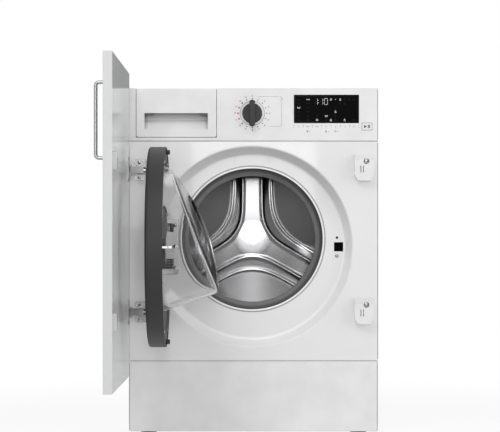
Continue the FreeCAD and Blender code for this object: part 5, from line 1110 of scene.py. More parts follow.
class Shape:
    """Small shapes that are set many times, modelled about the origin and facing up z."""

    @staticmethod
    def turned(profile: list[Flat], sides: int, closed: bool = False) -> bmesh.types.BMesh:
        """Turn a profile about z.

        Args:
            profile: Radius and height along the profile; a radius of zero makes a pole.
            sides: How many sides it has.
            closed: Whether the profile's end joins its start.

        Returns:
            The shape.
        """
        mesh = bmesh.new()
        rings = []
        for radius, height in profile:
            spots = circle(radius, sides) if radius else [(0.0, 0.0)]
            rings.append([mesh.verts.new((x, y, height)) for x, y in spots])
        if closed:
            rings.append(rings[0])
        for outer, inner in zip(rings, rings[1:]):
            for n in range(sides):
                after = (n + 1) % sides
                corners = [(outer, n), (outer, after), (inner, after), (inner, n)]
                mesh.faces.new(dict.fromkeys(ring[place % len(ring)] for ring, place in corners))
        return mesh

    @staticmethod
    def facing(mesh: bmesh.types.BMesh, axis: Flat) -> None:
        """Turn a shape to face the viewer and set it on an axis.

        Args:
            mesh: The shape, in millimetres.
            axis: The axis's place across and up, in millimetres.
        """
        upright = Matrix.Rotation(UPRIGHT, 4, "X")
        scale = Matrix.Scale(MM, 4)
        place = Matrix.Translation((axis[0] * MM, 0.0, axis[1] * MM))
        bmesh.ops.transform(mesh, matrix=place @ upright @ scale, verts=mesh.verts[:])

    @staticmethod
    def keep(name: str, mesh: bmesh.types.BMesh) -> bpy.types.Object:
        """Hold a shape as an object that stays out of the scene.

        Args:
            name: The object's name.
            mesh: The shape, which is used up.

        Returns:
            The object.
        """
        data = bpy.data.meshes.new(name)
        bmesh.ops.recalc_face_normals(mesh, faces=mesh.faces[:])
        mesh.to_mesh(data)
        mesh.free()
        return bpy.data.objects.new(name, data)

    @classmethod
    def piece(
        cls, name: str, mesh: bmesh.types.BMesh, finish: Finish, body: str, slot: str
    ) -> bpy.types.Object:
        """Close a shape that stands alone.

        Args:
            name: The piece's name.
            mesh: The shape.
            finish: Its finish.
            body: The body that it rides on.
            slot: Not used.

        Returns:
            The finished piece.
        """
        made = cls.keep(name, mesh)
        made.data.materials.append(finish.material())
        return settle(made, body)

    @classmethod
    def screw(cls, slots: int) -> bpy.types.Object:
        """A pan-head screw of unit radius with one slot or a cross.

        Args:
            slots: One for a slot, two for a cross.

        Returns:
            The shape.
        """
        profile = [(1.0, -0.02), (1.0, 0.12), (0.93, 0.26), (0.7, 0.4), (0.42, 0.47), (0.0, 0.5)]
        mesh = cls.turned(profile, 24)
        for n in range(slots):
            heading = Vector((math.cos(n * math.pi / 2), math.sin(n * math.pi / 2), 0.0))
            aside = Vector((-heading.y, heading.x, 0.0)) * 0.11
            reach = heading * (0.78 if slots == 1 else 0.55)
            low = [-reach - aside, reach - aside, reach + aside, -reach + aside]
            corners = [mesh.verts.new(spot + Vector((0.0, 0.0, 0.505))) for spot in low]
            mesh.faces.new(corners)
        return cls.keep(f"screw_{slots}", mesh)

    @classmethod
    def dimple(cls) -> bpy.types.Object:
        """A shallow dimple of unit radius with a rolled edge, which stands for a hole."""
        return cls.keep("dimple", cls.turned([(1.0, 0.0), (0.85, 0.1), (0.0, 0.02)], 10))

    @classmethod
    def spot(cls) -> bpy.types.Object:
        """A flat round spot of unit radius with a hair of thickness."""
        return cls.keep("spot", cls.turned([(1.0, 0.0), (1.0, 0.04), (0.0, 0.04)], 18))


@dataclass
class ControlFascia:
    """The control panel's printing: dial, plain numbers, display and touch keys."""

    dial: Flat = (-2.7, 765.0)
    ring: float = 29.2
    ring_width: float = 1.6
    dots: int = 16
    dot: float = 1.3
    red_dot: float = 2.1
    dot_ring: float = 34.3
    dot_film: float = 0.06
    red_span: Flat = (5.5, 10.5)
    number_ring: float = 41.9
    figure: float = 4.4
    window: tuple[Flat, Flat] = ((96.6, 741.5), (252.0, 809.1))
    border: float = 3.6
    field_level: float = -0.44
    sign_level: float = -0.5
    rows: tuple[float, ...] = (798.0, 788.2, 778.5, 768.7, 758.8, 749.1)
    columns: Flat = (108.3, 130.4)
    keys_shown: int = 7
    body: str = "cabinet"

    def build(self) -> None:
        """Print every part of the panel."""
        self.dial_ring()
        self.dial_dots("dial_dots", self.dot, PALETTE.dark_ink, "dark_plastic", False)
        self.dial_dots("dial_dots_red", self.red_dot, PALETTE.red_ink, "white_plastic", True)
        self.dial_numbers()
        self.display()
        self.keys()

    def dial_ring(self) -> None:
        """A pale grey ring of painted shade along the edge of the knob's raised seat, and the bracket
        beside it.
        """
        x, z = self.dial
        band = Print.on("control_panel", (x + self.ring, z))
        band.ring(self.dial, self.ring, self.ring_width, 72)
        # Painted shade along the edge of the seat.
        band.piece("dial_ring", PALETTE.pale_ink, self.body, "grey_plastic")
        bracket = Print(PANEL)
        bracket.stroke([(x + 16.7, z + 40.2), (x + 63.0, z + 40.2)], 0.9)
        bracket.stroke([(x + 66.5, z + 40.0), (x + 72.5, z + 34.8), (x + 66.5, z + 29.6)], 1.5)
        corner = arc(3.0, 0.0, -90.0, 6, (x + 67.0, z - 28.2))
        bracket.stroke([(x + 70.0, z + 27.0), *corner, (x + 40.0, z - 31.2)], 0.9)
        bracket.piece("dial_bracket", PALETTE.pale_ink, self.body, "grey_plastic")

    def dial_dots(self, name: str, size: float, finish: Finish, slot: str, inside: bool) -> None:
        """Dots round the dial, on a circle of points of which the red span is kept or left out.

        Args:
            name: The piece's name.
            size: The radius of one dot.
            finish: The finish.
            slot: Not used.
            inside: Whether the dots are those of the red span.
        """
        tree = Scatter(name)
        count = tree.count("Dots", self.dots)
        radius = tree.number("Ring", self.dot_ring * MM)
        scale = tree.number("Dot radius", size * MM)
        low = tree.number("First red", self.red_span[0])
        high = tree.number("Last red", self.red_span[1])
        graph = tree.graph
        hoop = graph.node("GeometryNodeMeshCircle", inputs={"Vertices": count, "Radius": radius})
        index = graph.number("GeometryNodeInputIndex")
        red = (index > low) * (1.0 - (index > high))
        picked = red if inside else 1.0 - red
        turned = (UPRIGHT, 0.0, 0.0)
        middle = (self.dial[0] * MM, -self.dot_film * MM, self.dial[1] * MM)
        upright = graph.node(
            "GeometryNodeTransform",
            inputs={"Geometry": hoop.outputs[0], "Translation": middle, "Rotation": turned},
        )
        sockets = {"Selection": picked, "Rotation": turned, "Scale": graph.vector(scale)}
        tree.close(upright.outputs[0], Shape.spot(), finish, sockets)
        settle(tree.piece(name, bpy.data.meshes.new(name + "_seed")), self.body)

    def dial_numbers(self) -> None:
        """Plain numbers beside the dots."""
        print_face = Print(PANEL)
        for n in range(self.dots):
            bearing = math.radians(90.0 - 360.0 / self.dots * n)
            aside = self.number_ring * math.cos(bearing)
            above = self.number_ring * math.sin(bearing) * 0.98
            print_face.words(str(n), (self.dial[0] + aside, self.dial[1] + above), self.figure)
        print_face.piece("dial_numbers", PALETTE.dark_ink, self.body, "dark_plastic")

    def display(self) -> None:
        """The screen's field, its figures and its signs."""
        low, high = self.window
        inset = self.border
        field_print = Print(self.field_level)
        field_print.box((low[0] + inset, low[1] + inset), (high[0] - inset, high[1] - inset))
        field_print.piece("display_field", PALETTE.screen_black, self.body, "black_glass")
        lit = Print(self.sign_level)
        dim = Print(self.sign_level)
        SegmentClock((145.6, 793.0), 7.4, 15.0).draw(lit, dim)
        for row, z in enumerate(self.rows):
            (lit if row == 2 else dim).sign(Icon.TUB, (self.columns[0], z), 6.2, 0.7)
            icon = Icon.BARS if row < 4 else Icon.SWIRL
            (lit if row == 0 else dim).sign(icon, (self.columns[1], z), 6.2, 0.7)
        signs = [
            (Icon.CLOCK, 184.9, 798.0, True), (Icon.DOT, 195.9, 798.2, True),
            (Icon.DROP, 207.0, 798.0, True), (Icon.SUN, 217.8, 798.0, False),
            (Icon.SWIRL, 228.7, 798.0, False), (Icon.TUB, 239.5, 798.0, False),
            (Icon.SWIRL, 207.0, 788.3, False), (Icon.LOCK, 217.8, 788.3, False),
            (Icon.SUN, 195.9, 778.5, False), (Icon.DROP, 195.9, 768.6, True),
            (Icon.SUN, 195.9, 758.8, False), (Icon.CLOCK, 152.1, 758.8, False),
            (Icon.TUB, 173.8, 758.8, True), (Icon.SUN, 152.1, 749.1, True),
            (Icon.TUB, 173.8, 749.1, False), (Icon.LOCK, 184.9, 749.1, True),
            (Icon.SWIRL, 195.9, 749.1, False), (Icon.DROP, 217.8, 749.1, True),
            (Icon.LOCK, 239.5, 749.1, False),
        ]
        for icon, x, z, shines in signs:
            (lit if shines else dim).sign(icon, (x, z), 5.8, 0.75)
        lit.piece("display_lit", PALETTE.lit_segment, self.body, "black_glass")
        dim.piece("display_dim", PALETTE.dim_segment, self.body, "black_glass")

    def keys(self) -> None:
        """Ticks, units and small signs below the display."""
        pale = Print(PANEL)
        dark = Print(PANEL)
        left = self.window[0][0]
        last = self.keys_shown
        pitch = (self.window[1][0] - left) / last
        units = ("°C", "rpm", "min", "+/-", "%", "h", "0/1")
        for n in range(last + 1):
            x = left + pitch * n
            pale.stroke([(x, 736.6), (x, 729.6)], 0.8)
            pale.stroke([(x - 2.2 * (n > 0), 736.4), (x + 2.2 * (n < last), 736.4)], 0.7)
        for n, unit in enumerate(units):
            dark.words(unit, (left + pitch * (n + 0.5), 733.2), 3.3)
        for n, icon in ((1, Icon.CLOCK), (3, Icon.LOCK), (4, Icon.SUN)):
            x = left + pitch * (n + 0.5)
            dark.sign(icon, (x - 1.0, 722.0), 5.0, 0.7)
            dark.words("3s", (x + 4.6, 721.4), 2.4)
        pale.piece("key_ticks", PALETTE.pale_ink, self.body, "grey_plastic")
        dark.piece("key_units", PALETTE.dark_ink, self.body, "dark_plastic")


@dataclass
class SegmentClock:
    """The remaining time in seven-segment figures."""

    foot: Flat
    width: float
    height: float
    pitch: float = 11.2
    thick: float = 0.42
    gap: float = 0.9
    colon: float = 1.6
    dot: float = 0.65

    LIT = {"0": "abcdef", "1": "bc"}

    def draw(self, lit: Print, dim: Print) -> None:
        """Draw the figures, with their unlit segments.

        Args:
            lit: The print that shines.
            dim: The print that doesn't.
        """
        for place, figure in enumerate("110"):
            for segment in "abcdefg":
                target = lit if segment in self.LIT[figure] else dim
                target.shape(self.segment(place, segment))
        for share in (0.32, 0.68):
            z = self.foot[1] - self.height / 2 + self.height * share
            lit.disc((self.foot[0] + self.pitch - 1.9, z), self.dot, 10)

    def segment(self, place: int, name: str) -> list[Flat]:
        """The outline of one segment.

        Args:
            place: Which figure, from the left.
            name: The segment's letter.

        Returns:
            Its six corners, anticlockwise.
        """
        left = self.foot[0] + self.pitch * place + (self.colon if place else 0.0)
        half = self.height / 2
        thick = self.thick
        level = {"a": half, "g": 0.0, "d": -half}
        if name in level:
            z = self.foot[1] + level[name]
            low = left + self.gap
            high = left + self.width - self.gap
            ends = [(low - thick, z), (low, z - thick), (high, z - thick)]
            return ends + [(high + thick, z), (high, z + thick), (low, z + thick)]
        x = left + (self.width if name in "bc" else 0.0)
        base = self.foot[1] + (0.0 if name in "bf" else -half) + self.gap
        top = base + half - self.gap * 2
        ends = [(x, base - thick), (x + thick, base), (x + thick, top)]
        return ends + [(x, top + thick), (x - thick, top), (x - thick, base)]


@dataclass
class StartKey:
    """The printing on the start key and the frame round it."""

    centre: Flat = (271.2, 733.35)
    half: Flat = (12.6, 9.0)
    bend: float = 1.8
    arrow: Point = (-7.0, -0.1, 4.2)
    bars: Flat = (1.9, 5.2)
    bar: Flat = (2.1, 4.0)

    def build(self) -> None:
        """Print the frame on the panel and the sign on the key."""
        x, z = self.centre
        wide, high = (side - self.bend for side in self.half)
        outline = []
        for start, dx, dz in ((0.0, 1, 1), (90.0, -1, 1), (180.0, -1, -1), (270.0, 1, -1)):
            outline += arc(self.bend, start, start + 90.0, 4, (x + dx * wide, z + dz * high))
        frame_print = Print(PANEL)
        frame_print.stroke([*outline, outline[0]], 1.0)
        frame_print.piece("start_frame", PALETTE.pale_ink, "cabinet", "grey_plastic")
        sign = Print.on("start_button", self.centre)
        back, tip, flank = self.arrow
        sign.shape([(x + back, z - flank), (x + tip, z), (x + back, z + flank)])
        for left in self.bars:
            sign.box((x + left, z - self.bar[1]), (x + left + self.bar[0], z + self.bar[1]))
        sign.piece("start_sign", PALETTE.dark_ink, "start_button", "dark_plastic")


@dataclass
class Fasteners:
    """Screws of the cabinet, the furniture door and the porthole door."""

    catch: tuple[Flat, ...] = ((269.0, 650.0), (269.0, 308.0))
    hinges: Flat = (629.0, 291.0)
    plate_x: float = -267.0
    plate_apart: float = 18.0
    plate_aside: float = 5.75
    lock: Flat = (200.0, 424.0)
    bracket: tuple[Flat, ...] = ((-187.5, 393.0), (-187.5, 446.0), (-187.5, 499.0))
    margin: float = 9.0
    back_edge: float = 290.0
    back_levels: tuple[float, ...] = (60.0, 250.0, 440.0, 630.0, 800.0)
    behind: float = 700.0
    cup_inset: float = 21.0
    cup_apart: float = 23.0
    leaf_start: float = -200.0
    ring_radius: float = 205.0
    ring_level: float = 446.0

    def build(self) -> None:
        """Set each group of screws on the solid that it holds."""
        catch = [ahead("magnet_catches", spot) for spot in self.catch]
        lock = [ahead("front_panel", self.lock)]
        bracket = [ahead("porthole_hinge_bracket", spot) for spot in self.bracket]
        self.group("catch_screws", catch, 6.3, 1, "cabinet")
        self.group("hinge_plate_screws", self.plates(), 4.4, 2, "cabinet")
        self.group("lock_screw", lock, 4.5, 2, "cabinet")
        self.group("bracket_screws", bracket, 5.0, 2, "cabinet")
        self.group("rear_screws", self.rear(), 4.2, 2, "cabinet")
        self.group("leaf_screws", self.leaf(), 3.9, 2, "furniture_door")
        self.group("ring_screws", self.ring(), 3.6, 2, "porthole_door")

    def plates(self) -> list[Seat]:
        """Screws of the hinge plates in the cabinet.

        Returns:
            Their seats.
        """
        levels = self.pairs(self.plate_apart)
        held = [ahead("furniture_hinge_arms", (self.plate_x, z)) for z in levels]
        aside = Vector((self.plate_aside, 0.0, 0.0)) * MM
        return [(seat - aside, normal) for seat, normal in held]

    def pairs(self, apart: float) -> list[float]:
        """The levels of two screws at each furniture hinge, this far below and above its middle."""
        return [middle + lift for middle in self.hinges for lift in (-apart, apart)]

    def rear(self) -> list[Seat]:
        """Screws round the service cover and down the edges of the back.

        Returns:
            Their seats.
        """
        low, high = (Vector(corner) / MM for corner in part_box("rear_cover"))
        sides = (low.x + self.margin, high.x - self.margin)
        middle = (low + high) / 2
        cover = [
            (x, z)
            for x in (sides[0], middle.x, sides[1])
            for z in (low.z + self.margin, high.z - self.margin)
        ]
        cover += [(x, middle.z) for x in sides]
        edges = [(x, z) for x in (-self.back_edge, self.back_edge) for z in self.back_levels]
        return [
            surface(node, (x, self.behind, z), BACK)
            for node, spots in (("rear_cover", cover), ("back_panel", edges))
            for x, z in spots
        ]

    def leaf(self) -> list[Seat]:
        """Screws of the hinge cups on the furniture door.

        Returns:
            Their seats.
        """
        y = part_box("hinge_cups")[0][1] / MM + self.cup_inset
        levels = self.pairs(self.cup_apart)
        return [surface("furniture_panel", (self.leaf_start, y, z), LEFT) for z in levels]

    def ring(self) -> list[Seat]:
        """Screws round the inner ring of the porthole door.

        Returns:
            Their seats.
        """
        low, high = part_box("porthole_inner_ring")
        middle = ((low[1] + high[1]) / 2 / MM, self.ring_level)
        spots = arc(self.ring_radius, 22.5, 337.5, 7, middle)
        return [surface("porthole_inner_ring", (0.0, y, z), LEFT) for y, z in spots]

    def group(self, name: str, seats: list[Seat], radius: float, slots: int, body: str) -> None:
        """Set screws on their seats.

        Args:
            name: The piece's name.
            seats: The seats and their normals.
            radius: The radius of a head in millimetres.
            slots: One for a slot, two for a cross.
            body: The body that they ride on.
        """
        carrier = bpy.data.meshes.new(name + "_seats")
        carrier.from_pydata([tuple(seat) for seat, _ in seats], [], [])
        aims = carrier.attributes.new("aim", "FLOAT_VECTOR", "POINT")
        for n, (_, normal) in enumerate(seats):
            aims.data[n].vector = normal
        tree = Scatter(name)
        size = tree.number("Head radius", radius * MM)
        graph = tree.graph
        kind = {"data_type": "FLOAT_VECTOR"}
        aim = graph.node("GeometryNodeInputNamedAttribute", kind, {"Name": "aim"}).outputs[0]
        sockets = {"Rotation": tree.facing(aim), "Scale": graph.vector(size)}
        points = tree.source.outputs["Geometry"]
        tree.close(points, Shape.screw(slots), PALETTE.screw_steel, sockets)
        piece = settle(tree.piece(name, carrier), body)
        self.blacken_slots(piece)

    @staticmethod
    def blacken_slots(piece: bpy.types.Object) -> None:
        """Give the driver slots, the loose faces on top of each head, a near-black colour: painted
        shade that stands for their depth.

        Args:
            piece: A group of screws.
        """
        piece.data.materials.append(PALETTE.pierced.material())
        sides = [face for face in piece.data.polygons if len(face.vertices) == 4]
        links = {}
        for face in piece.data.polygons:
            for key in face.edge_keys:
                links[key] = links.get(key, 0) + 1
        for face in sides:
            if all(links[key] == 1 for key in face.edge_keys):
                face.material_index = len(piece.data.materials) - 1


@dataclass
class DrumSkin:
    """The perforations of the drum's skin, drawn as dimples in painted shade."""

    axis: Flat = (-3.0, 465.0)
    radius: float = 236.85
    rows: int = 17
    around: int = 90
    depth: Flat = (104.0, 376.0)
    hole: float = 1.9

    def build(self) -> None:
        """Roll a grid of points into the drum and set a dimple on each, near-black with the painted
        shade of a hole.
        """
        tree = Scatter("drum_holes")
        graph = tree.graph
        rows = tree.count("Rows", self.rows)
        around = tree.count("Around", self.around)
        radius = tree.number("Radius", self.radius * MM)
        size = tree.number("Hole radius", self.hole * MM)
        grid = graph.node(
            "GeometryNodeMeshGrid",
            inputs={"Size X": 1.0, "Size Y": 1.0, "Vertices X": around, "Vertices Y": rows},
        )
        side, length, _ = tree.position()
        row = graph.number("GeometryNodeInputIndex").remainder(rows)
        odd = row.remainder(2.0)
        angle = (side * ((self.around - 1) / self.around) + odd * (0.5 / self.around)) * math.tau
        low, high = self.depth
        along = (length + 0.5) * ((high - low) * MM) + low * MM
        cosine = angle.cosine()
        sine = angle.sine()
        x = cosine * radius + self.axis[0] * MM
        z = sine * radius + self.axis[1] * MM
        rolled = tree.moved(grid.outputs[0], Position=graph.vector(x, along, z))
        inward = graph.vector(cosine * -1.0, 0.0, sine * -1.0)
        sockets = {"Rotation": tree.facing(inward), "Scale": graph.vector(size)}
        # Painted shade: near-black dimples stand for the holes.
        tree.close(rolled, Shape.dimple(), PALETTE.pierced, sockets)
        holes = tree.piece("drum_holes", bpy.data.meshes.new("drum_holes_seed"))
        settle(holes, "drum")


@dataclass
class DrumBack:
    """The drum's pressed back: a star of three arms with beaded edges, leaning lobes and a hub."""

    axis: Flat = (-3.0, 465.0)
    face: float = 390.0
    edge: float = 420.0
    radius: float = 236.6
    sheet: float = 1.3
    around: int = 360
    bearings: tuple[float, float, float] = (90.0, 210.0, 330.0)
    arm_edge: float = 24.5
    lobe_edge: float = 49.0
    bead: float = 0.8
    slope: float = 0.085
    tilt: float = 0.1
    hub: float = 50.0
    rise: float = 0.9
    softness: Flat = (15.0, 20.0)
    bead_width: float = 4.2
    lobe_run: Flat = (3.0, 72.0)
    band_run: Flat = (2.5, 20.0)
    brink: Flat = (1.0, 6.0)
    below: Flat = (12.0, 42.0)
    lip: float = 105.0
    curl: float = 0.00018
    fade: Flat = (200.0, 228.0)
    bend: float = 8.6
    crease: float = 50.0

    def build(self) -> None:
        """Press the star into a plain pan and dress it."""
        tree = Scatter("drum_press")
        graph = tree.graph
        bead = tree.number("Bead height", self.bead)
        slope = tree.number("Band slope", self.slope)
        tilt = tree.number("Lobe tilt", self.tilt)
        rise = tree.number("Hub rise", self.rise)
        x, _, z = tree.position()
        across = x / MM - self.axis[0]
        above = z / MM - self.axis[1]
        away = across.length(above)
        inner, outer = (self.reach(across, above, softness) for softness in self.softness)
        beads = self.line(inner, self.arm_edge) + self.line(outer, self.lobe_edge)
        within = outer.eased(*(self.lobe_edge + step for step in self.brink))
        lobes = self.run(outer - self.lobe_edge, self.lobe_run) * tilt * -1.0
        below = (above * -1.0).eased(*self.below)
        foot = below * inner.eased(*(self.arm_edge + step for step in self.brink)) * (1.0 - within)
        band = self.run(inner - self.arm_edge, self.band_run) * slope * (1.0 - below)
        dome = (1.0 - away.eased(10.0, self.hub)) * rise
        lip = (away - self.lip).most(0.0)
        fade = 1.0 - away.eased(*self.fade)
        depth = (band + lobes - beads * bead - dome - lip * lip * self.curl) * fade
        offset = graph.vector(0.0, depth * MM, 0.0)
        kept = tree.moved(tree.source.outputs["Geometry"], Offset=offset)
        # Marks for the painted light: highlights on the beads and the hub, shade on the lobes and on
        # the bands below the axis.
        marks = {
            "bead": beads,
            "lobe": within + foot * 0.6,
            "hub": (1.0 - away.eased(24.0, self.hub)) * (1.0 - inner.eased(13.0, 22.0)),
        }
        for name, mark in marks.items():
            stored = graph.node(
                "GeometryNodeStoreNamedAttribute",
                {"data_type": "FLOAT", "domain": "POINT"},
                {"Geometry": kept, "Name": name, "Value": mark},
            )
            kept = stored.outputs[0]
        tree.dress(kept, PALETTE.pressed_steel)
        back = tree.piece("drum_back_pressed", self.pan())
        back.data.shade_smooth()
        back.data.set_sharp_from_angle(angle=math.radians(self.crease))
        settle(back, "drum")
        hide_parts("drum_back")

    def reach(self, across: Value, above: Value, softness: float) -> Value:
        """How far a point lies from the star's arms, with the corners between the arms rounded.

        Args:
            across: The point's place to the right of the axis.
            above: Its place above the axis.
            softness: How wide the corners are rounded.

        Returns:
            The distance in millimetres.
        """
        total = None
        for bearing in self.bearings:
            turn = math.radians(bearing)
            cosine, sine = math.cos(turn), math.sin(turn)
            behind = (across * cosine + above * sine).least(0.0)
            aside = above * cosine - across * sine
            share = (aside.length(behind) * (-1.0 / softness)).exponential()
            total = share if total is None else total + share
        return total.logarithm() * -softness

    def line(self, distance: Value, place: float) -> Value:
        """A narrow hump along the line at one distance from the arms."""
        offset = (distance - place) * (1.0 / self.bead_width)
        return (offset * offset * -1.0).exponential()

    @staticmethod
    def run(distance: Value, limits: Flat) -> Value:
        """A slope that starts some way on and then runs for some length."""
        return (distance - limits[0]).most(0.0).least(limits[1])

    def pan(self) -> bpy.types.Mesh:
        """The plain pan: a fine front, a skirt back to the drum's edge and a coarser inside.

        Returns:
            The pan's mesh.
        """
        front = [1.25 * n for n in range(139)] + [180.0, 190.0, 200.0, 210.0, 220.0]
        rear = [self.fade[1] - self.sheet - 12.0 * n for n in range(1, 19)] + [0.0]
        corner = (self.radius - self.bend, -self.face - self.bend)
        profile = [(radius, -self.face) for radius in front]
        profile += arc(self.bend, 90.0, 0.0, 5, corner)
        profile += [(self.radius, -self.edge), (self.radius - self.sheet, -self.edge)]
        profile += arc(self.bend - self.sheet, 0.0, 90.0, 5, corner)
        profile += [(radius, -self.face - self.sheet) for radius in rear]
        shape = Shape.turned(profile, self.around)
        Shape.facing(shape, self.axis)
        return Shape.keep("drum_pan", shape).data


@dataclass
class MouthRim:
    """The white rolled rim round the mouth, a grey ring of painted shade in the groove round it, and
    grey linings of painted shade in the two slits above it.
    """

    axis: Flat = (-3.0, 465.0)
    ring: float = 171.2
    half: Flat = (2.3, 1.8)
    level: float = 25.6
    groove: float = 174.4
    floor: float = 24.7
    slit_floor: float = 24.4
    slits: Flat = (-45.0, 36.0)
    slit_span: Flat = (645.5, 661.5)
    slit_half: float = 1.6
    groove_width: float = 2.0
    around: int = 120
    section: int = 14

    def build(self) -> None:
        """Roll the rim, lay painted shade in the groove round it and line the slits with painted
        shade.
        """
        wide, deep = self.half
        turns = circle(1.0, self.section)
        profile = [(self.ring + wide * x, deep * y - self.level) for x, y in turns]
        shape = Shape.turned(profile, self.around, closed=True)
        Shape.facing(shape, self.axis)
        rim = Shape.piece("mouth_rim", shape, PALETTE.rim_enamel, "cabinet", "white_enamel")
        rim.data.shade_smooth()
        # Painted shade: a grey ring in the gap between the rim and the panel.
        groove = Print(self.floor)
        groove.ring(self.axis, self.groove, self.groove_width, self.around)
        groove.piece("rim_groove", PALETTE.pale_ink, "cabinet", "grey_plastic")
        # Painted shade: grey linings in the slits.
        lining = Print(self.slit_floor)
        low, high = self.slit_span
        for x in self.slits:
            lining.box((x - self.slit_half, low), (x + self.slit_half, high))
        lining.piece("slit_lining", PALETTE.slit_grey, "cabinet", "grey_plastic")


@dataclass
class FrontSeams:
    """Painted shade as a grey line down each upright edge of the front and round its rounded folds,
    and the grey linings of two level joints.
    """

    bead: float = 2.05
    edge: float = 298.05
    face: Flat = (178.0, 694.0)
    folds: tuple[tuple[Flat, Flat], ...] = (
        ((296.0, 2.0), (702.0, 822.0)),
        ((295.0, 4.0), (8.0, 170.0)),
    )
    joints: tuple[Point, ...] = ((0.6, 697.0, 699.3), (2.6, 172.6, 174.9))
    reach: float = 296.0
    width: float = 2.3
    lift: float = 0.05
    wrap: float = 1.0

    def build(self) -> None:
        """Lay the strips of painted shade along the edges and line the joints."""
        mesh = bmesh.new()
        for side in (-1.0, 1.0):
            brink = (self.edge, -self.lift)
            flat = [(self.edge - self.width, -self.lift), brink, (self.edge, self.wrap)]
            self.strip(mesh, side, flat, self.face)
            for middle, span in self.folds:
                self.strip(mesh, side, arc(self.bead, -90.0, 0.0, 6, middle), span)
        # Painted shade along the rounded edges and folds.
        Shape.piece("edge_lines", mesh, PALETTE.edge_grey, "cabinet", "grey_plastic")
        names = ("upper_joint", "lower_joint")
        greys = (PALETTE.edge_grey, PALETTE.slit_grey)
        for name, grey, (level, low, high) in zip(names, greys, self.joints):
            lining = Print(level)
            lining.box((-self.reach, low), (self.reach, high))
            lining.piece(name, grey, "cabinet", "grey_plastic")

    @staticmethod
    def strip(mesh: bmesh.types.BMesh, side: float, outline: list[Flat], span: Flat) -> None:
        """Run an outline up an edge.

        Args:
            mesh: The mesh that takes the strip.
            side: One for the right edge, minus one for the left.
            outline: The strip's section from its front to its side.
            span: Where it starts and ends along z.
        """
        rails = [
            [mesh.verts.new((side * x * MM, y * MM, z * MM)) for x, y in outline]
            for z in span
        ]
        for n in range(len(outline) - 1):
            corners = [rails[0][n], rails[0][n + 1], rails[1][n + 1], rails[1][n]]
            mesh.faces.new(corners if side > 0 else corners[::-1])


@dataclass
class DrawerTabs:
    """The two small tabs that hang in the upper corners of the drawer's grip; their dark grey is
    painted shade.
    """

    spans: tuple[Flat, Flat] = ((-258.0, -236.0), (-109.5, -131.5))
    top: float = 765.8
    drop: float = 4.6
    level: float = 2.0
    deep: float = 6.0
    lean: float = 5.5
    end: float = 1.0

    def build(self) -> None:
        """Draw each tab as a thin wedge that narrows inwards."""
        mesh = bmesh.new()
        for outer, inner in self.spans:
            lean = math.copysign(self.lean, outer - inner)
            foot = self.top - self.drop
            outline = [(outer, self.top), (outer, foot), (inner + lean, foot)]
            outline += [(inner, self.top - self.end), (inner, self.top)]
            rings = [
                [mesh.verts.new((x * MM, y * MM, z * MM)) for x, z in outline]
                for y in (self.level, self.level + self.deep)
            ]
            mesh.faces.new(rings[0])
            mesh.faces.new(rings[1])
            for n in range(len(outline)):
                after = (n + 1) % len(outline)
                mesh.faces.new((rings[0][n], rings[0][after], rings[1][after], rings[1][n]))
        # Painted shade: the tabs' dark grey.
        Shape.piece("drawer_tabs", mesh, PALETTE.tab_grey, "drawer", "grey_plastic")


@dataclass
class HingeKnuckles:
    """The dark knuckles on the porthole's hinge bracket, in two groups of rings."""

    places: Flat = (-194.5, 17.4)
    spans: tuple[Flat, ...] = ((482.0, 503.0), (391.0, 416.0))
    radius: float = 4.0
    neck: float = 2.4
    rings: int = 4

    def build(self) -> None:
        """Turn each knuckle with its grooves and stand it on the bracket."""
        joined = bmesh.new()
        for low, high in self.spans:
            profile = [(0.0, low)]
            pitch = (high - low) / self.rings
            for n in range(self.rings):
                foot = low + pitch * n
                profile += [(self.neck, foot), (self.neck, foot + 0.9)]
                profile += [(self.radius, foot + 1.2), (self.radius, foot + pitch - 0.3)]
            profile.append((0.0, high))
            barrel = Shape.turned(profile, 20)
            flat = bpy.data.meshes.new("barrel")
            barrel.to_mesh(flat)
            barrel.free()
            flat.transform(Matrix.Scale(MM, 4) @ Matrix.Translation((*self.places, 0.0)))
            joined.from_mesh(flat)
            bpy.data.meshes.remove(flat)
        Shape.piece("hinge_knuckles", joined, PALETTE.knuckle_steel, "cabinet", "zinc_steel")


@dataclass
class HingeCams:
    """The dark adjusting cams on the arms of the furniture hinges."""

    x: float = -261.5
    levels: Flat = (629.0, 291.0)
    radius: float = 7.4
    bar: Flat = (5.0, 1.5)
    bar_lift: float = 0.14
    start: float = -120.0

    def build(self) -> None:
        """Print each cam on the arm that carries it, with a pale bar across it."""
        for n, level in enumerate(self.levels):
            spot = (self.x, level)
            cam = Print.on("furniture_hinge_arms", spot, start=self.start)
            cam.disc(spot, self.radius, 24)
            cam.piece(f"hinge_cam_{n}", PALETTE.knuckle_steel, "cabinet", "zinc_steel")
            bar = Print.on("furniture_hinge_arms", spot, self.bar_lift, self.start)
            wide, high = self.bar
            bar.box((self.x - wide, level - high), (self.x + wide, level + high))
            bar.piece(f"hinge_cam_bar_{n}", PALETTE.screw_steel, "cabinet", "zinc_steel")


@dataclass
class CatchFaces:
    """The pole slots in the faces of the two magnet catches."""

    slots: Flat = (255.5, 261.7)
    tops: Flat = (639.0, 297.0)
    size: Flat = (1.5, 16.0)
    lift: float = 0.06

    def build(self) -> None:
        """Draw each slot on the face that carries it."""
        for n, top in enumerate(self.tops):
            wide, high = self.size
            poles = Print.on("magnet_catches", (self.slots[0], top - high / 2), self.lift)
            for x in self.slots:
                for low, up in ((0.4, 0.0), (1.0, 0.6)):
                    poles.box((x - wide / 2, top - high * low), (x + wide / 2, top - high * up))
            poles.piece(f"catch_poles_{n}", PALETTE.pole_grey, "cabinet", "grey_plastic")


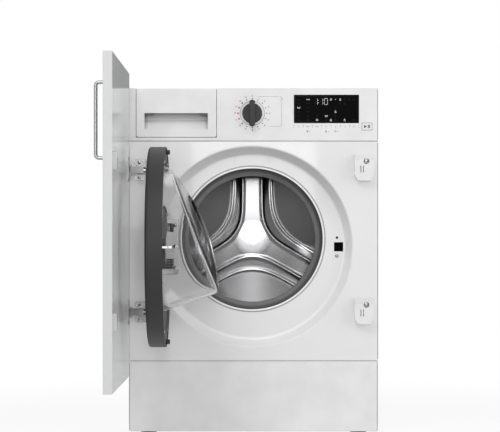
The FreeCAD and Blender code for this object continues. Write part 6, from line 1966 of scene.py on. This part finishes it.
@dataclass
class PortholeBowl:
    """The porthole's glass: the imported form, its slanted end domed and its curves shaded smooth."""

    crease: float = 40.0
    slant: Point = (1.0, 0.0, 0.389)
    rise: float = 22.0
    rings: int = 12
    weld: float = 0.00002
    flatness: float = 0.99995

    def build(self) -> None:
        """Join, dome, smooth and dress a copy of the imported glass."""
        source = frame["nodes"]["porthole_glass"]
        mesh = bpy.data.meshes.new("porthole_bowl")
        joined = bmesh.new()
        joined.from_mesh(source.data)
        bmesh.ops.remove_doubles(joined, verts=joined.verts[:], dist=self.weld)
        for side in (1.0, -1.0):
            self.dome(joined, side)
        joined.to_mesh(mesh)
        joined.free()
        mesh.materials.clear()
        mesh.materials.append(PALETTE.clear_glass.material())
        mesh.shade_smooth()
        mesh.set_sharp_from_angle(angle=math.radians(self.crease))
        bowl = bpy.data.objects.new("porthole_bowl", mesh)
        settle(bowl, "porthole_door")
        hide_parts("porthole_glass")

    def dome(self, mesh: bmesh.types.BMesh, side: float) -> None:
        """Swell one side of the slanted end into a shallow dome.

        Args:
            mesh: The bowl.
            side: One for the outer face, minus one for the inner.
        """
        aim = Vector(self.slant).normalized()
        mesh.normal_update()
        flat = [face for face in mesh.faces if face.normal.dot(aim) * side > self.flatness]
        face = bmesh.ops.dissolve_faces(mesh, faces=flat)["region"][0]
        border = list(face.verts)
        centre = face.calc_center_bounds()
        bmesh.ops.delete(mesh, geom=[face], context="FACES_ONLY")
        loops = [border]
        for n in range(1, self.rings):
            share = 1.0 - n / self.rings
            lift = aim * self.rise * MM * (1.0 - share * share)
            places = [centre + (spot.co - centre) * share + lift for spot in border]
            loops.append([mesh.verts.new(place) for place in places])
        crown = mesh.verts.new(centre + aim * self.rise * MM)
        count = len(border)
        for outer, inner in zip(loops, loops[1:]):
            for n in range(count):
                mesh.faces.new((outer[n], outer[(n + 1) % count], inner[(n + 1) % count], inner[n]))
        for n in range(count):
            mesh.faces.new((loops[-1][n], loops[-1][(n + 1) % count], crown))


@dataclass(frozen=True)
class Stage:
    """Floor, dark card, lamps, world and camera; sizes are in metres."""

    eye: Point = (0.0037, -4.977, 0.4575)
    lens: float = 150.0
    shift: Flat = (-0.01, 0.052)
    reach: float = 14.0
    near: Flat = (0.7, 2.2)
    shadow: float = 0.12
    flag_low: Point = (-0.42, 0.7, 0.84)
    flag_high: Point = (-0.05, 0.7, 1.12)

    def build(self) -> None:
        """Set the stage."""
        self.floor()
        self.flag()
        self.world()
        self.lamp("key", (-0.9, -2.7, 3.2), (0.0, 0.0, 0.5), (1.8, 1.8), 37.0)
        fill = self.lamp("fill", (3.4, -1.7, 1.3), (0.0, 0.0, 0.45), (2.2, 2.2), 28.0)
        self.lamp("card", (0.0, -5.02, 1.26), (0.0, 0.4, 0.5), (0.6, 1.5), 29.0)
        door = ("porthole_frame", "porthole_inner_ring", "porthole_window", "porthole_glass")
        solids = [frame["nodes"][name] for name in door]
        self.spare(fill, [bpy.data.objects["porthole_bowl"], *solids])
        self.camera()
        bpy.context.scene.view_settings.view_transform = "Standard"

    def floor(self) -> None:
        """A pale floor that the camera sees as white and that still takes the shadow."""
        mesh = bpy.data.meshes.new("floor")
        half = self.reach
        corners = [(-half, -half, 0.0), (half, -half, 0.0), (half, half, 0.0), (-half, half, 0.0)]
        mesh.from_pydata(corners, [], [(0, 1, 2, 3)])
        floor = link(bpy.data.objects.new("floor", mesh))
        material = bpy.data.materials.new("pale_floor")
        material.use_nodes = True
        graph = Graph(material.node_tree)
        cloud = graph.noise(2.0)
        matt = graph.node(
            "ShaderNodeBsdfDiffuse",
            inputs={"Color": graph.blend(cloud, (0.9, 0.9, 0.9), (0.93, 0.93, 0.93))},
        )
        light = {"Color": (1.0, 1.0, 1.0, 1.0), "Strength": 1.0}
        glow = graph.node("ShaderNodeEmission", inputs=light)
        spot = graph.node("ShaderNodeTexCoord").outputs["Object"]
        away = graph.number("ShaderNodeVectorMath", {"operation": "LENGTH"}, {0: spot}, "Value")
        share = graph.seen() * (1.0 - (1.0 - away.eased(*self.near)) * self.shadow)
        mixed = graph.node(
            "ShaderNodeMixShader", inputs={0: share, 1: matt.outputs[0], 2: glow.outputs[0]}
        )
        graph.node("ShaderNodeOutputMaterial", inputs={"Surface": mixed.outputs[0]})
        mesh.materials.append(material)

    def flag(self) -> None:
        """A dark card behind the machine, for reflections alone: the furniture door mirrors it."""
        left, y, low = self.flag_low
        right, _, high = self.flag_high
        mesh = bpy.data.meshes.new("flag")
        corners = [(left, y, low), (right, y, low), (right, y, high), (left, y, high)]
        mesh.from_pydata(corners, [], [(0, 1, 2, 3)])
        mesh.materials.append(PALETTE.tab_grey.material())
        flag = link(bpy.data.objects.new("flag", mesh))
        for ray in ("camera", "diffuse", "transmission", "volume_scatter", "shadow"):
            setattr(flag, "visible_" + ray, False)

    def world(self) -> None:
        """White to the eye, and a soft even light elsewhere."""
        world = bpy.data.worlds.new("studio")
        bpy.context.scene.world = world
        world.use_nodes = True
        graph = Graph(world.node_tree)
        strength = graph.seen() * 0.5 + 0.5
        inputs = {"Color": (1.0, 1.0, 1.0, 1.0), "Strength": strength}
        light = graph.node("ShaderNodeBackground", inputs=inputs)
        graph.node("ShaderNodeOutputWorld", inputs={"Surface": light.outputs[0]})

    def lamp(
        self, name: str, spot: Point, target: Point, size: Flat, power: float
    ) -> bpy.types.Object:
        """Hang one soft lamp.

        Args:
            name: What the lamp is called.
            spot: Where it hangs.
            target: What it looks at.
            size: The width and height of its face.
            power: Its power in watts.

        Returns:
            The lamp.
        """
        light = bpy.data.lights.new(name, "AREA")
        light.shape = "RECTANGLE"
        light.size, light.size_y = size
        light.energy = power
        lamp = link(bpy.data.objects.new(name, light))
        lamp.location = spot
        lamp.rotation_euler = (Vector(target) - Vector(spot)).to_track_quat("-Z", "Y").to_euler()
        return lamp

    @staticmethod
    def spare(lamp: bpy.types.Object, solids: list[bpy.types.Object]) -> None:
        """Let a lamp's light pass some solids, so that the open porthole throws no black shadow.

        Args:
            lamp: The lamp.
            solids: What its light passes.
        """
        passed = bpy.data.collections.new(lamp.name + "_passes")
        for solid in solids:
            passed.objects.link(solid)
        for row in passed.collection_objects:
            row.light_linking.link_state = "EXCLUDE"
        lamp.light_linking.blocker_collection = passed

    def camera(self) -> None:
        """The camera, level and square to the front."""
        data = bpy.data.cameras.new("camera")
        data.lens = self.lens
        data.sensor_width = 36.0
        data.shift_x, data.shift_y = self.shift
        data.clip_end = 60.0
        camera = link(bpy.data.objects.new("camera", data))
        camera.location = self.eye
        camera.rotation_euler = (UPRIGHT, 0.0, 0.0)
        bpy.context.scene.camera = camera


def main() -> None:
    """Build the dressed machine and its stage."""
    logging.basicConfig(level=logging.INFO, format="%(message)s")
    dress_solids()
    front = (ControlFascia(), StartKey(), Fasteners())
    drum = (DrumSkin(), DrumBack(), MouthRim())
    fittings = (FrontSeams(), DrawerTabs(), HingeKnuckles(), HingeCams(), CatchFaces())
    for group in (*front, *drum, *fittings, PortholeBowl(), Stage()):
        group.build()


if __name__ == "__main__":
    main()
